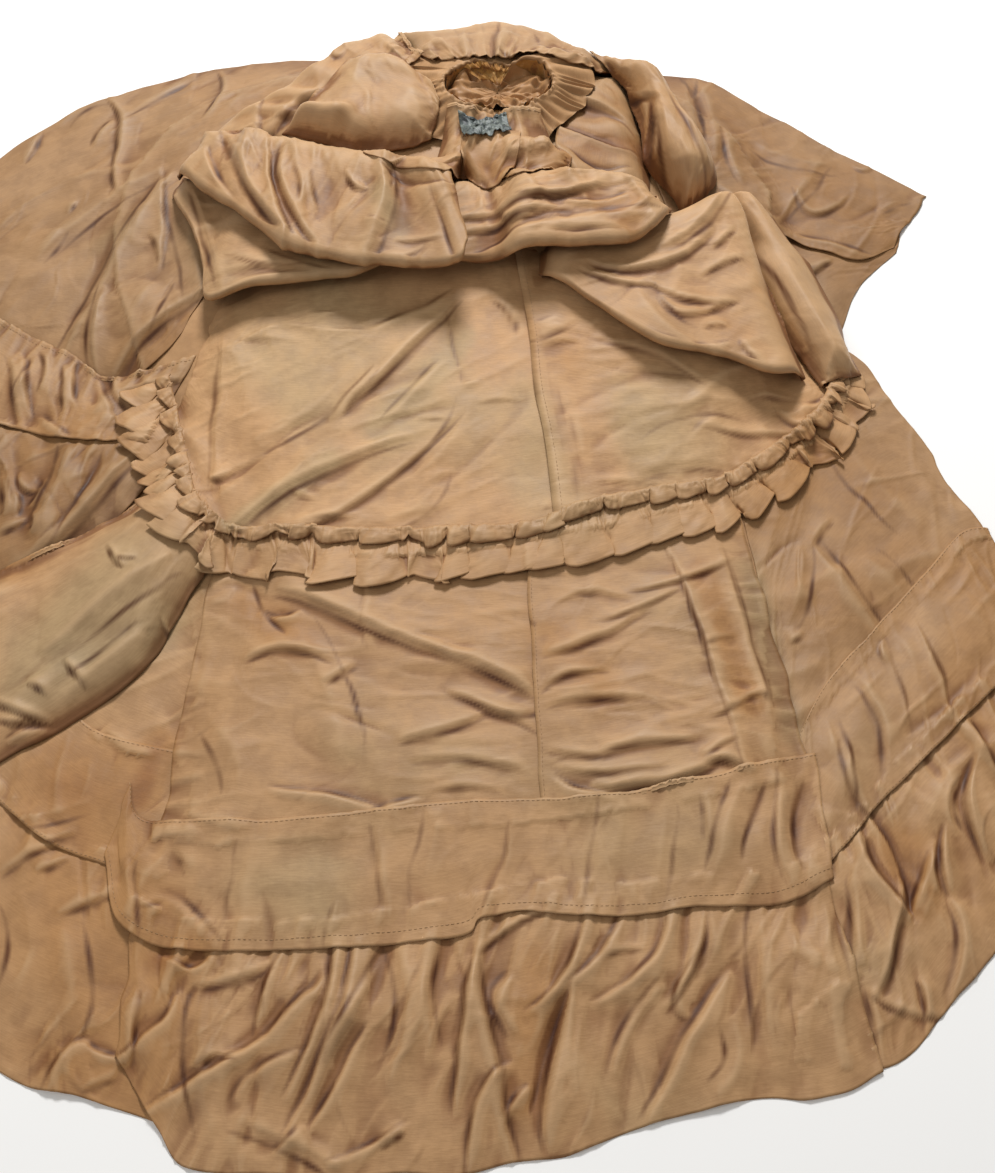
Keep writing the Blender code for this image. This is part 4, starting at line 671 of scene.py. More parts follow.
def linear(hex_colour):
    """sRGB hex colour to linear RGBA."""
    channels = [int(hex_colour[i : i + 2], 16) / 255 for i in (1, 3, 5)]
    low = [c / 12.92 if c <= 0.04045 else ((c + 0.055) / 1.055) ** 2.4 for c in channels]
    return (*low, 1.0)


def spline(rows, at):
    """Catmull-Rom through the rows, at the parameters given, where 0 is the first row and 1 the last."""
    rows = np.asarray(rows, float)
    ends = np.vstack([2 * rows[0] - rows[1], rows, 2 * rows[-1] - rows[-2]])
    place = np.clip(np.asarray(at), 0, 1) * (len(rows) - 1)
    first = np.minimum(place.astype(int), len(rows) - 2)
    t = (place - first)[:, None]
    a, b, c, d = (ends[first + k] for k in range(4))
    return 0.5 * (2 * b + (c - a) * t + (2 * a - 5 * b + 4 * c - d) * t**2 + (3 * b - a - 3 * c + d) * t**3)


def even(rows, count):
    """Parameters of count steps of the same length along the ribs' middles."""
    fine = np.linspace(0, 1, 400)
    points = spline(rows, fine)
    middle = (points[:, 0:2] + points[:, -3:-1]) / 2
    run = np.concatenate([[0], np.cumsum(np.linalg.norm(np.diff(middle, axis=0), axis=1))])
    return np.interp(np.linspace(0, run[-1], count + 1), run, fine)


def loft(rows, cols, bands, arch=0.0, start=0.0, end=1.0):
    """Grid of points between the back and the front edge, in metres."""
    at = start + (end - start) * even(rows, cols)
    ribs = spline(rows, at) * MM
    v = np.linspace(0, 1, bands + 1)
    back, front = ribs[:, None, 0:3], ribs[:, None, 3:6]
    grid = back + (front - back) * v[None, :, None]
    grid[:, :, 2] += arch * np.sin(math.pi * v) ** 0.7
    return grid


def add_folds(grid, folds):
    """Raises a ridge, or sinks a trough, along each fold's line. It fades at both ends."""
    for x0, y0, x1, y1, width, height in folds:
        start = np.array((x0, y0)) * MM
        along = np.array((x1, y1)) * MM - start
        length = np.linalg.norm(along)
        along = along / length
        offset = grid[:, :, :2] - start
        s = offset @ along / length
        across = (offset[:, :, 0] * along[1] - offset[:, :, 1] * along[0]) / (width * MM)
        fade = np.clip((s + 0.12) / 0.3, 0, 1) * np.clip((1.12 - s) / 0.3, 0, 1)
        grid[:, :, 2] += height * MM * np.exp(-1.6 * across**2) * fade


def add_gathers(grid, name, seed=3):
    """Raises uneven waves that run from the back edge to the front edge."""
    waves, back, front = GATHERS[name]
    cols, bands = grid.shape[0] - 1, grid.shape[1] - 1
    rng = random.Random(seed + len(name))
    widths = [rng.uniform(0.65, 1.35) for _ in range(waves)]
    ends = np.concatenate([[0], np.cumsum(widths)]) / sum(widths)
    phase = np.interp(np.linspace(0, 1, cols + 1), ends, np.arange(waves + 1)) * 2 * math.pi
    rise = (back + (front - back) * np.linspace(0, 1, bands + 1)) * MM
    grid[:, :, 2] += (0.5 - 0.5 * np.cos(phase))[:, None] * rise[None, :]


def rib_rows(name):
    """The ribs of a piece. Those of the train's three parts come from its stations."""
    if not name.startswith("train"):
        return RIBS[name if name in RIBS else FORM[name]]
    _, part, side = name.split("_")
    rows = np.array(TRAIN[side], float)
    if part == "flounce":
        made = rows[:, 6:12].copy()
        made[:, 0:3] += (rows[:, 3:6] - rows[:, 6:9]) * 0.10
    elif part == "panel":
        made = rows[:, 0:6].copy()
        made[:, 3:6] += (rows[:, 6:9] - rows[:, 3:6]) * 0.08
    else:
        made = rows[:, 3:9].copy()
        made[:, 2] += 2.5
        made[:, 5] += 3.5
    return made


def shaped(name, cols, bands, solid=True):
    """The piece's grid in this fineness, without the part that is turned under: as its solid has it, or with
    the share of the solid's folds that the cloth keeps."""
    arch = ARCH.get(name, 0)
    start, end = SHARE.get(name, (0, 1))
    if not solid and name in LAPPED:
        start -= LAPPED[name]
    grid = loft(rib_rows(name), cols, bands, arch * MM, start, end)
    if name in KIND:
        turn = TURN[KIND[name]]
        reach = grid[:, -1, :2] - grid[:, 0, :2]
        length = np.linalg.norm(reach, axis=1)[:, None]
        v = np.linspace(0, 1, bands + 1)
        for k in range(bands + 1):
            grid[:, k, :2] = grid[:, 0, :2] + reach / length * (length - turn) * v[k]
        grid[:, :, 2] += turn * v[None, :] ** 0.5
    if not solid:
        run = np.concatenate([[0], np.cumsum(np.linalg.norm(np.diff(grid[:, bands // 2], axis=0), axis=1))])
        ends = np.clip(np.minimum(run, run[-1] - run) / 0.035, 0, 1) ** 0.5
        grid[:, :, 2] -= (1 - ends)[:, None] * arch * MM * np.sin(math.pi * np.linspace(0, 1, bands + 1)) ** 0.7
        if name in POINTED:
            squeeze = POINTED[name][0] * np.clip((run - run[-1] + 0.07) / 0.07, 0, 1)[:, None, None] ** 1.5
            meet = int(POINTED[name][1] * bands)
            grid += (grid[:, meet : meet + 1] - grid) * squeeze * np.array((1, 1, 0.4))
    plain = grid[:, :, 2].copy()
    if name in GATHERS:
        add_gathers(grid, name)
    if not solid:
        grid[:, :, 2] = plain + (grid[:, :, 2] - plain) * GATHERS_KEPT.get(name, 0.0)
    plain = grid[:, :, 2].copy()
    add_folds(grid, FOLDS.get("train" if name.startswith("train") else FORM.get(name, name), ()))
    if not solid:
        grid[:, :, 2] = plain + (grid[:, :, 2] - plain) * FOLDS_KEPT
    return grid


def node_points(name):
    """The solid's corners in the plan's frame."""
    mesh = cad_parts[name].data
    points = np.empty(len(mesh.vertices) * 3, np.float32)
    mesh.vertices.foreach_get("co", points)
    return points.reshape(-1, 3).astype(float) + PLAN_CENTRE


def lift_of(name, coarse):
    """How far the solid lies above the plan's heights, at each point of its own grid."""
    corners = node_points(name)
    flat = coarse.reshape(-1, 3)
    lift = np.full(len(flat), np.nan)
    for k, point in enumerate(flat):
        near = np.hypot(corners[:, 0] - point[0], corners[:, 1] - point[1]) < 0.0004
        if near.any():
            lift[k] = corners[near, 2].min() - point[2]
    lift = lift.reshape(coarse.shape[:2])
    found = np.isfinite(lift)
    fill = np.where(found, lift, 0.0)
    return np.where(found, lift, fill.sum() / max(1, found.sum()))


def resample(values, cols, bands):
    """A coarse grid of values in a finer grid, smoothly."""
    along = spline(values, np.linspace(0, 1, cols + 1))
    return spline(along.T, np.linspace(0, 1, bands + 1)).T


def blur(values, reach):
    """Mean over a square of this many cells to each side."""
    for axis in (0, 1):
        pad = [(0, 0), (0, 0)]
        pad[axis] = (reach + 1, reach)
        run = np.cumsum(np.pad(values, pad, mode="edge"), axis=axis)
        size = values.shape[axis]
        high = np.take(run, np.arange(2 * reach + 1, 2 * reach + 1 + size), axis=axis)
        low = np.take(run, np.arange(size), axis=axis)
        values = (high - low) / (2 * reach + 1)
    return values


def undulation(shape, sizes, wavelength, rng):
    """Soft uneven rise and fall with about this wavelength."""
    total = np.zeros(shape)
    for share, size in ((1.0, wavelength), (0.45, wavelength * 0.45)):
        steps = [max(3, int(length / size) + 3) for length in sizes]
        total += share * resample(rng.normal(0, 0.5, steps), shape[0] - 1, shape[1] - 1)
    return total


def plan_noise(x, y, rng):
    """Smooth noise from 0 to 1 over the plan, with a wavelength of 1."""
    lattice = rng.random((64, 64))
    i, j = np.floor(x).astype(int), np.floor(y).astype(int)
    s, t = x - i, y - j
    s, t = s * s * (3 - 2 * s), t * t * (3 - 2 * t)
    low = lattice[i % 64, j % 64] * (1 - s) + lattice[(i + 1) % 64, j % 64] * s
    high = lattice[i % 64, (j + 1) % 64] * (1 - s) + lattice[(i + 1) % 64, (j + 1) % 64] * s
    return low * (1 - t) + high * t


def crumple(grid, direction, spread, rng):
    """Long crisp lines where the cloth was pressed and unfolded, between nearly flat fields. They wander
    along the piece's direction, and come and go."""
    rise = np.zeros(grid.shape[:2])
    x, y = grid[:, :, 0] + 2, grid[:, :, 1] + 2
    for length, width, height in PRESSED:
        turn = math.radians(direction + rng.normal(0, spread * 0.6))
        along, across = x * math.cos(turn) + y * math.sin(turn), y * math.cos(turn) - x * math.sin(turn)
        across = across + 0.7 * width * plan_noise(along / 0.07, across / 0.07, rng)
        n = plan_noise(along / length, across / width, rng)
        line = np.clip(1 - np.abs(2 * n - 1) * 2.6, 0, 1)
        shown = np.clip(plan_noise(along / 0.08, across / 0.06, rng) * 2.6 - 1.0, 0, 1)
        rise += height * line * shown
    return rise


def crease_profile(across, width, lean):
    """A sharp crest between flat sides: a short steep one and a long easy one."""
    soft = width * (1 + 1.1 * abs(lean))
    sharp = width * (1 - 0.72 * abs(lean))
    steep = across * (1 if lean >= 0 else -1) > 0
    s = np.abs(across) / np.where(steep, sharp, soft)
    crest = np.exp(-1.1 * (np.sqrt(s**2 + 0.02) - 0.14))
    foot = np.where(steep, 0.2 * abs(lean) * np.exp(-((s - 2.4) ** 2)), 0.0)
    return crest - foot


def add_crease(grid, rise, line, width, height, lean, crease_shade_mask=None):
    """One crease along a bent line of three places in the plan, in metres. It tapers to both ends. Along the
    crease's foot, where the silk bends over sharply, the colour is painted darker as painted shade, and the mask of
    painted shade says where."""
    a, b, c = (np.array(p) for p in line)
    low = np.minimum(np.minimum(a, b), c) - 4 * width
    high = np.maximum(np.maximum(a, b), c) + 4 * width
    x, y = grid[:, :, 0], grid[:, :, 1]
    near = (x > low[0]) & (x < high[0]) & (y > low[1]) & (y < high[1])
    if not near.any():
        return
    spots = np.column_stack([x[near], y[near]])
    steps = np.linspace(0, 1, 13)[:, None]
    path = (1 - steps) ** 2 * a + 2 * steps * (1 - steps) * (2 * b - (a + c) / 2) + steps**2 * c
    best = np.full(len(spots), 1e9)
    across = np.zeros(len(spots))
    share = np.zeros(len(spots))
    for k in range(12):
        along = path[k + 1] - path[k]
        length = max(1e-6, np.hypot(*along))
        offset = spots - path[k]
        t = np.clip(offset @ along / length**2, 0, 1)
        gap = offset - t[:, None] * along
        distance = np.hypot(gap[:, 0], gap[:, 1])
        closer = distance < best
        side = np.sign(offset[:, 0] * along[1] - offset[:, 1] * along[0])
        best = np.where(closer, distance, best)
        across = np.where(closer, distance * side, across)
        share = np.where(closer, (k + t) / 12, share)
    taper = np.sin(math.pi * np.clip(share, 0.0, 1.0)) ** 0.75
    rise[near] += height * taper * crease_profile(across, width * (0.35 + 0.65 * taper), lean)
    # Painted shade: the crease's foot is marked so that the colour is darkened there.
    if crease_shade_mask is not None:
        foot = 1.5 * width * (1 - 0.72 * abs(lean)) if height > 0 else 0.0
        thin = 0.0017 + 0.0009 * taper
        uneven = 0.72 + 0.28 * np.sin(share * 11 + 60 * a[0])
        dark = np.exp(-(((across * (1 if lean >= 0 else -1) - foot) / thin) ** 2)) * taper**0.6 * uneven
        crease_shade_mask[near] = np.maximum(crease_shade_mask[near], dark * min(1.0, abs(height) / 0.0032))


def nearest_height(coarse, spot):
    """Height of the coarse grid's point nearest to this place in the plan."""
    gap = np.hypot(coarse[:, :, 0] - spot[0], coarse[:, :, 1] - spot[1])
    return coarse[:, :, 2].ravel()[gap.argmin()]


def main_creases(grid, rise, name, coarse, crease_shade_mask):
    """The piece's creases of the table, each place brought from the photograph to the cloth."""
    for row in CREASES.get(name, ()):
        line = []
        for px, py in (row[0:2], row[2:4], row[4:6]):
            height = coarse[:, :, 2].mean()
            for _ in range(3):
                height = nearest_height(coarse, spot_of(px, py, height))
            line.append(spot_of(px, py, height))
        line[0] += (line[0] - line[1]) * 0.18
        line[2] += (line[2] - line[1]) * 0.18
        width, height, lean = row[6:9]
        gain = CREASE_GAIN.get(name, CREASE_RISE)
        add_crease(grid, rise, line, width * MM * CREASE_SIDE, height * MM * gain, lean, crease_shade_mask)


def small_creases(grid, rise, creasing, rng, crease_shade_mask):
    """Uneven small creases, most of them along the piece's own direction, in loose groups."""
    count, most, direction, spread = creasing[:4]
    cols, bands = grid.shape[:2]
    for _ in range(max(1, count // 4)):
        i, j = rng.integers(2, cols - 2), rng.integers(2, bands - 2)
        place = grid[i, j, :2]
        heading = direction + rng.normal(0, spread * 0.6)
        for _ in range(4):
            angle = math.radians(heading + rng.normal(0, spread * 0.35))
            half = rng.uniform(14, 62) * MM * rng.uniform(0.6, 1.3)
            run = np.array((math.cos(angle), math.sin(angle))) * half
            bend = np.array((-run[1], run[0])) * rng.normal(0, 0.22)
            middle = place + rng.normal(0, 0.013, 2)
            width = rng.uniform(1.3, 2.8) * MM
            height = 0.45 * most * MM * rng.uniform(0.25, 1.0) ** 1.3 * rng.choice((1, 1, -0.8))
            line = (middle - run, middle + bend, middle + run)
            add_crease(grid, rise, line, width, height, rng.uniform(-1, 1), crease_shade_mask)


def add_puckers(grid, rise, edge, spacing, height, reach, slant, rng):
    """Gathers that run out from a sewn edge, uneven in spacing, height and length."""
    back = edge == "back"
    line = grid[:, 0 if back else -1, :2]
    run = np.concatenate([[0], np.cumsum(np.linalg.norm(np.diff(line, axis=0), axis=1))])
    away = np.linalg.norm(grid[:, :, :2] - line[:, None, :], axis=2)
    place = rng.uniform(0, spacing) * MM
    while place < run[-1]:
        width = spacing * MM * rng.uniform(0.16, 0.34)
        rise_here = height * MM * rng.uniform(0.3, 1.2)
        far = reach * MM * rng.uniform(0.4, 1.5)
        lean = slant + rng.normal(0, 0.22)
        near = np.nonzero(np.abs(run - place) < 8 * width + abs(lean) * far * 2)[0]
        if len(near):
            part = slice(near[0], near[-1] + 1)
            offset = run[part, None] - place - lean * away[part]
            spread = width * (1 + away[part] / (reach * MM) * 1.4)
            profile = crease_profile(offset, spread, rng.uniform(-0.8, 0.8))
            rise[part] += rise_here * profile * np.exp(-((away[part] / far) ** 1.5))
        place += spacing * MM * rng.uniform(0.45, 1.6)


def spot_of(px, py, height):
    """The place in the plan that the photograph shows at this pixel, at this height, in metres."""
    focal = LENS_MM / SENSOR_MM * PHOTO[1]
    right, up = (px - PHOTO[0] / 2) / focal, (PHOTO[1] / 2 - py) / focal
    tilt = CAMERA_TILT
    ray = np.array((right, up * math.cos(tilt) + math.sin(tilt), up * math.sin(tilt) - math.cos(tilt)))
    return (CAMERA + ray * (CAMERA[2] - height) / -ray[2])[:2]


class Ground:
    """Height of what lies on the surface so far, cell by cell."""

    def __init__(self):
        self.top = np.zeros(FIELD_SIZE)

    def cells(self, points):
        """The cell of each point, as two arrays."""
        ij = ((points[..., :2] - FIELD_LOW) / CELL).astype(int)
        return ij[..., 0], ij[..., 1]

    def under(self, points):
        """The greatest height in the cells around each point."""
        wide = self.top.copy()
        for dx in (-1, 0, 1):
            for dy in (-1, 0, 1):
                wide = np.maximum(wide, np.roll(self.top, (dx, dy), (0, 1)))
        return wide[self.cells(points)]

    def stamp(self, grid):
        """Adds a cloth, by its grid's points and those halfway between them."""
        fine = [grid, (grid[1:] + grid[:-1]) / 2]
        fine += [(g[:, 1:] + g[:, :-1]) / 2 for g in list(fine)]
        for points in fine:
            i, j = self.cells(points)
            np.maximum.at(self.top, (i, j), points[..., 2])

    def stamp_solid(self, mesh):
        """Stamps a solid of the frame, by close samples of its triangles."""
        corners = np.array([[mesh.vertices[v].co for v in face.vertices] for face in mesh.polygons], float)
        step = np.linspace(0, 1, 34)
        for s in step:
            for t in step[step <= 1 - s + 1e-9]:
                points = corners[:, 0] * (1 - s - t) + corners[:, 1] * s + corners[:, 2] * t + PLAN_CENTRE
                np.maximum.at(self.top, self.cells(points), points[:, 2])


def settle(grid, ground, whole_ribs=False):
    """Lifts a piece clear of what lies below it, and eases the lift around."""
    for _ in range(5):
        need = np.clip(ground.under(grid) + LAYER_GAP - grid[:, :, 2], 0, None)
        if need.max() < 1e-5:
            break
        if whole_ribs:
            need = np.repeat(need.max(axis=1)[:, None], need.shape[1], axis=1)
        lift = need
        for reach in (3, 2, 1):
            lift = np.maximum(need, blur(lift, reach))
        grid[:, :, 2] += lift


def away_from_edges(grid, sewn=None):
    """Distance of each point from the nearest edge of its piece, measured in the cloth, without a sewn end."""
    gaps = []
    for axis in (0, 1):
        steps = np.linalg.norm(np.diff(grid, axis=axis), axis=2)
        run = np.cumsum(np.insert(steps, 0, 0.0, axis=axis), axis=axis)
        whole = np.take(run, [-1], axis=axis)
        if not (axis == 0 and sewn == 0):
            gaps.append(run)
        if not (axis == 0 and sewn == -1):
            gaps.append(whole - run)
    return np.min(gaps, axis=0)


def lay_edges_down(grid, ground, name):
    """Lets a piece down onto what is below: a flat one as a whole, and every piece at its edges."""
    below = ground.under(grid) + LAYER_GAP
    below = np.maximum(below, blur(blur(below, 5), 4))
    flat = name.startswith(FLAT)
    reach, least = (0.040, 0.5) if flat else (0.016, 0.0)
    share = least + (0.95 - least) * np.exp(-((away_from_edges(grid, SEWN.get(name)) / reach) ** 1.5))
    grid[:, :, 2] -= np.clip(grid[:, :, 2] - below, 0, None) * share


def with_lips(grid, thickness=0.0013):
    """The grid with its four edges turned under, so that the cloth shows its thickness."""
    wide = np.pad(grid, ((2, 2), (2, 2), (0, 0)), mode="edge")
    for axis in (0, 1):
        for end in (0, 1):
            rows = np.moveaxis(wide, axis, 0)
            if end:
                rows = rows[::-1]
            inward = rows[4] - rows[2]
            inward[:, 2] = 0
            step = np.linalg.norm(inward, axis=1)
            inward /= np.maximum(step, 1e-6)[:, None]
            inward[:, :2] = np.column_stack([blur(inward[:, k : k + 1], 4)[:, 0] for k in (0, 1)])
            rows[1] += inward * 0.0001 - np.array((0, 0, thickness * 0.6))
            rows[0] += inward * np.minimum(LIP, step)[:, None] - np.array((0, 0, thickness))
    wide[:, :, 2] = np.maximum(wide[:, :, 2], 0.0003)
    return wide


def close_ends(grid, ground, name):
    """Lets the two ends and the back edge of a rolled piece down onto what is below."""
    below = ground.under(grid) + 0.002
    below = np.maximum(below, blur(blur(below, 5), 4))
    edges = [grid[:1], grid[-1:], grid[:, :1]]
    if name in JOINED:
        del edges[JOINED[name]]
    gap = np.min([np.linalg.norm((grid - edge)[:, :, :2], axis=2) for edge in edges], axis=0)
    grid[:, :, 2] -= np.clip(grid[:, :, 2] - below, 0, None) * 0.93 * np.exp(-((gap / 0.013) ** 1.6))


def rolled_under(grid, detail, turn):
    """The grid with its front edge rolled over and tucked back under itself."""
    reach = grid[:, -1, :2] - grid[:, 0, :2]
    along = reach / np.linalg.norm(reach, axis=1)[:, None]
    run = np.concatenate([[0], np.cumsum(np.linalg.norm(np.diff(grid[:, -1, :2], axis=0), axis=1))])
    turn = turn * np.clip(np.minimum(run, run[-1] - run) / 0.022, 0.06, 1) ** 0.6
    foot = grid[:, -1, 2] - turn - detail[:, -1] * 0.6
    columns = [grid]
    middle = grid[:, -1, :2]
    for angle in range(78, -91, -12):
        level, rising = math.cos(math.radians(angle)), math.sin(math.radians(angle))
        out = level * turn + detail[:, -1] * 1.1 * level
        up = rising * turn + detail[:, -1] * 0.6 * max(0.0, rising)
        xy = middle + along * out[:, None]
        columns.append(np.concatenate([xy, (foot + up)[:, None]], axis=1)[:, None, :])
    for share in (0.35, 0.7, 1.0):
        xy = middle - along * TUCK * share
        columns.append(np.concatenate([xy, (foot - turn + 0.001 * share)[:, None]], axis=1)[:, None, :])
    return np.concatenate(columns, axis=1)


def pointed_wave(phase):
    """A wave with flat sides and sharp turns."""
    return 0.55 * np.arcsin(np.sin(phase)) * 2 / math.pi + 0.45 * np.sin(phase)


def fine_frill(name, ground):
    """The frill below and above its stitching: flaps that were pressed flat, slant to one side and overlap.
    Its heading hangs over them, and is made from what this also returns."""
    cols = FRILL_COLUMNS
    rows = rib_rows(name)
    ribs = spline(rows, even(rows, cols)) * MM
    back, front = ribs[:, 0:2].copy(), ribs[:, 3:5].copy()
    out = front - back
    out /= np.linalg.norm(out, axis=1)[:, None]
    side = np.column_stack([out[:, 1], -out[:, 0]])
    rng = np.random.default_rng(29)
    count = FRILL_FLAPS
    ends = np.cumsum(np.concatenate([[0], rng.uniform(0.45, 1.5, count)]))
    ends /= ends[-1]
    at = np.linspace(0, 1, cols + 1)
    phase = np.interp(at, ends, np.arange(count + 1)) * 2 * math.pi
    centres = (ends[1:] + ends[:-1]) / 2
    full = np.interp(at, centres, rng.uniform(0.45, 1.25, count))
    heading = np.interp(at, centres, rng.uniform(0.35, 1.3, count))
    lean = np.interp(at, centres, rng.uniform(0.5, 1.25, count) * rng.choice((1, 1, 1, -1), count))
    ripple = undulation((cols + 1, 40), (1.2, 0.06), 0.012, rng)
    crimp = np.interp(at, np.linspace(0, 1, 420), rng.normal(0, 1, 420))
    made, rises = [], []
    stations = np.concatenate([np.linspace(-1, 0, 4), np.linspace(0, 1, 24)[1:]])
    for k, v in enumerate(stations):
        near = math.exp(-abs(v) * (4.5 if v > 0 else 1.6))
        if v < 0:
            stand = -v
            xy = back - out * (0.0080 * stand + 0.0005 * stand * crimp)[:, None]
            rise = 0.0012 + 0.0028 * stand + 0.0005 * stand * crimp
        else:
            wake = math.sin(math.pi * min(1.0, v * 1.3) / 2)
            turn = phase - 2.8 * v * np.sign(lean) + 0.35 * ripple[:, k]
            beat = pointed_wave(turn) * full
            late = pointed_wave(turn + math.pi / 2)
            xy = back + (front - back) * v
            xy = xy + side * ((0.0125 * wake * late + 0.010 * v) * lean * (0.35 + 0.65 * v))[:, None]
            xy = xy + out * (0.0070 * v * pointed_wave(turn + 0.9) * full + 0.0012 * v * ripple[:, k])[:, None]
            rise = 0.0012 + wake * (0.0030 + 0.0030 * beat) * (1 - 0.3 * v) + 0.0006 * wake * ripple[:, k]
        rise = rise + 0.0007 * near * crimp
        made.append(xy)
        rises.append(rise)
    grid = np.concatenate([np.stack(made, axis=1), np.zeros((cols + 1, len(stations), 1))], axis=2)
    below = ground.under(grid) + LAYER_GAP
    grid[:, :, 2] = np.maximum(below, blur(blur(below, 8), 6)) + np.clip(np.stack(rises, axis=1), 0.0004, None)
    return grid, (back, out, side, phase, heading, lean, crimp)


def frill_heading(ribs, ground, silk):
    """The frill's heading: it folds over above the stitching and hangs down again in uneven loops."""
    back, out, side, phase, heading, lean, crimp = ribs
    hang = np.abs(np.sin(phase / 2)) ** 0.6 * heading * (1 + 0.40 * np.sign(lean) * np.sin(phase + 0.4))
    crush = undulation((len(phase), 12), (1.2, 0.02), 0.011, np.random.default_rng(53))
    shut = np.exp(-((np.sin(phase / 2) / 0.22) ** 2))
    made, rises = [], []
    for k, t in enumerate(np.linspace(0, 1, 12)):
        reach = -0.0084 - 0.0020 * shut + t * (0.0086 + 0.0104 * hang) + 0.0009 * t * crush[:, k]
        made.append(back + out * reach[:, None] + side * (0.0070 * t * lean * pointed_wave(phase + 0.5))[:, None])
        loop = math.sin(math.pi * (0.1 + 0.75 * t)) * (0.0012 + 0.0032 * hang)
        rises.append(0.0008 + loop + 0.0007 * t * crimp + 0.0009 * crush[:, k])
    grid = np.stack(made, axis=1)
    below = ground.under(grid)
    below = np.maximum(below, blur(blur(below, 6), 3)) + np.clip(np.stack(rises, axis=1), 0.0004, None)
    grid = np.concatenate([grid, below[:, :, None]], axis=2)
    relief = padded(relief_of(grid))
    ground.stamp(grid)
    obj = cloth_object("apron_frill_heading", with_lips(grid, 0.0009), relief, silk)
    finished(obj, None)


def lengths_of(grid):
    """The grid's length along its columns' middles and along its bands' middles."""
    across = np.linalg.norm(np.diff(grid, axis=0), axis=2)
    down = np.linalg.norm(np.diff(grid, axis=1), axis=2)
    return across.sum(axis=0).mean(), down.sum(axis=1).mean()


def faces_of(cols, rows, closed=False):
    """Quads of a grid."""
    i = np.arange(cols if closed else cols - 1)
    j = np.arange(rows - 1)
    i, j = np.meshgrid(i, j, indexing="ij")
    nxt = (i + 1) % cols
    return np.stack([i * rows + j, nxt * rows + j, nxt * rows + j + 1, i * rows + j + 1], axis=-1).reshape(-1, 4)


def cloth_object(name, grid, relief, made_of, closed=False, outward=None):
    """A mesh from a grid in the plan's frame, with the cloth's own lengths as UV and its relief as attributes."""
    cols, rows = grid.shape[:2]
    points = grid.reshape(-1, 3) - PLAN_CENTRE
    faces = faces_of(cols, rows, closed)
    a, b, c = (points[faces[:, k]] for k in (0, 1, 2))
    normals = np.cross(b - a, c - a)
    if outward is None:
        turned_over = normals[:, 2].sum() < 0
    else:
        turned_over = (normals[:, :2] * ((a + c)[:, :2] / 2 - outward)).sum() < 0
    if turned_over:
        faces = faces[:, ::-1]
    mesh = bpy.data.meshes.new(name)
    mesh.vertices.add(len(points))
    mesh.vertices.foreach_set("co", points.astype(np.float32).ravel())
    mesh.loops.add(faces.size)
    mesh.loops.foreach_set("vertex_index", faces.astype(np.int32).ravel())
    mesh.polygons.add(len(faces))
    mesh.polygons.foreach_set("loop_start", np.arange(0, faces.size, 4, dtype=np.int32))
    across = np.linalg.norm(np.diff(grid, axis=0), axis=2).mean(axis=1)
    down = np.linalg.norm(np.diff(grid, axis=1), axis=2).mean(axis=0)
    u = np.concatenate([[0], np.cumsum(across)])
    v = np.concatenate([[0], np.cumsum(down)])
    uv = np.stack(np.meshgrid(u, v, indexing="ij"), axis=-1).reshape(-1, 2)
    layer = mesh.uv_layers.new(name="cut")
    layer.data.foreach_set("uv", uv[faces.ravel()].astype(np.float32).ravel())
    for key, values in relief.items():
        attribute = mesh.attributes.new(key, "FLOAT", "POINT")
        attribute.data.foreach_set("value", values.astype(np.float32).ravel())
    mesh.update(calc_edges=True)
    mesh.validate()
    mesh.shade_smooth()
    mesh.materials.append(made_of)
    return put(name, mesh)


# Materials


def add_node(tree, kind, settings=None, links=None):
    """Adds a node with its settings, its inputs' values and its links."""
    made = tree.nodes.new(kind)
    for key, value in (settings or {}).items():
        if isinstance(key, str) and hasattr(made, key):
            setattr(made, key, value)
        else:
            made.inputs[key].default_value = value
    for key, source in (links or {}).items():
        tree.links.new(source, made.inputs[key])
    return made


def new_material(name):
    """A material, its node tree and its shader."""
    made = bpy.data.materials.new(name)
    made.use_nodes = True
    return made, made.node_tree, made.node_tree.nodes["Principled BSDF"]


def ramp(tree, source, stops):
    """Colours along a value, with soft steps."""
    made = add_node(tree, "ShaderNodeValToRGB", links={"Fac": source})
    made.color_ramp.interpolation = "EASE"
    elements = made.color_ramp.elements
    while len(elements) < len(stops):
        elements.new(0.5)
    for element, (place, colour) in zip(elements, stops):
        element.position = place
        element.color = linear(colour)
    return made.outputs["Color"]


def mixed(tree, blend, factor, first, second):
    """Mix of two colours. The factor and either colour may be a socket or a plain value."""
    made = add_node(tree, "ShaderNodeMix", {"data_type": "RGBA", "blend_type": blend})
    sockets = {"Factor": made.inputs[0], "A": made.inputs[6], "B": made.inputs[7]}
    for key, value in (("Factor", factor), ("A", first), ("B", second)):
        if isinstance(value, bpy.types.NodeSocket):
            tree.links.new(value, sockets[key])
        else:
            sockets[key].default_value = value
    return made.outputs[2]


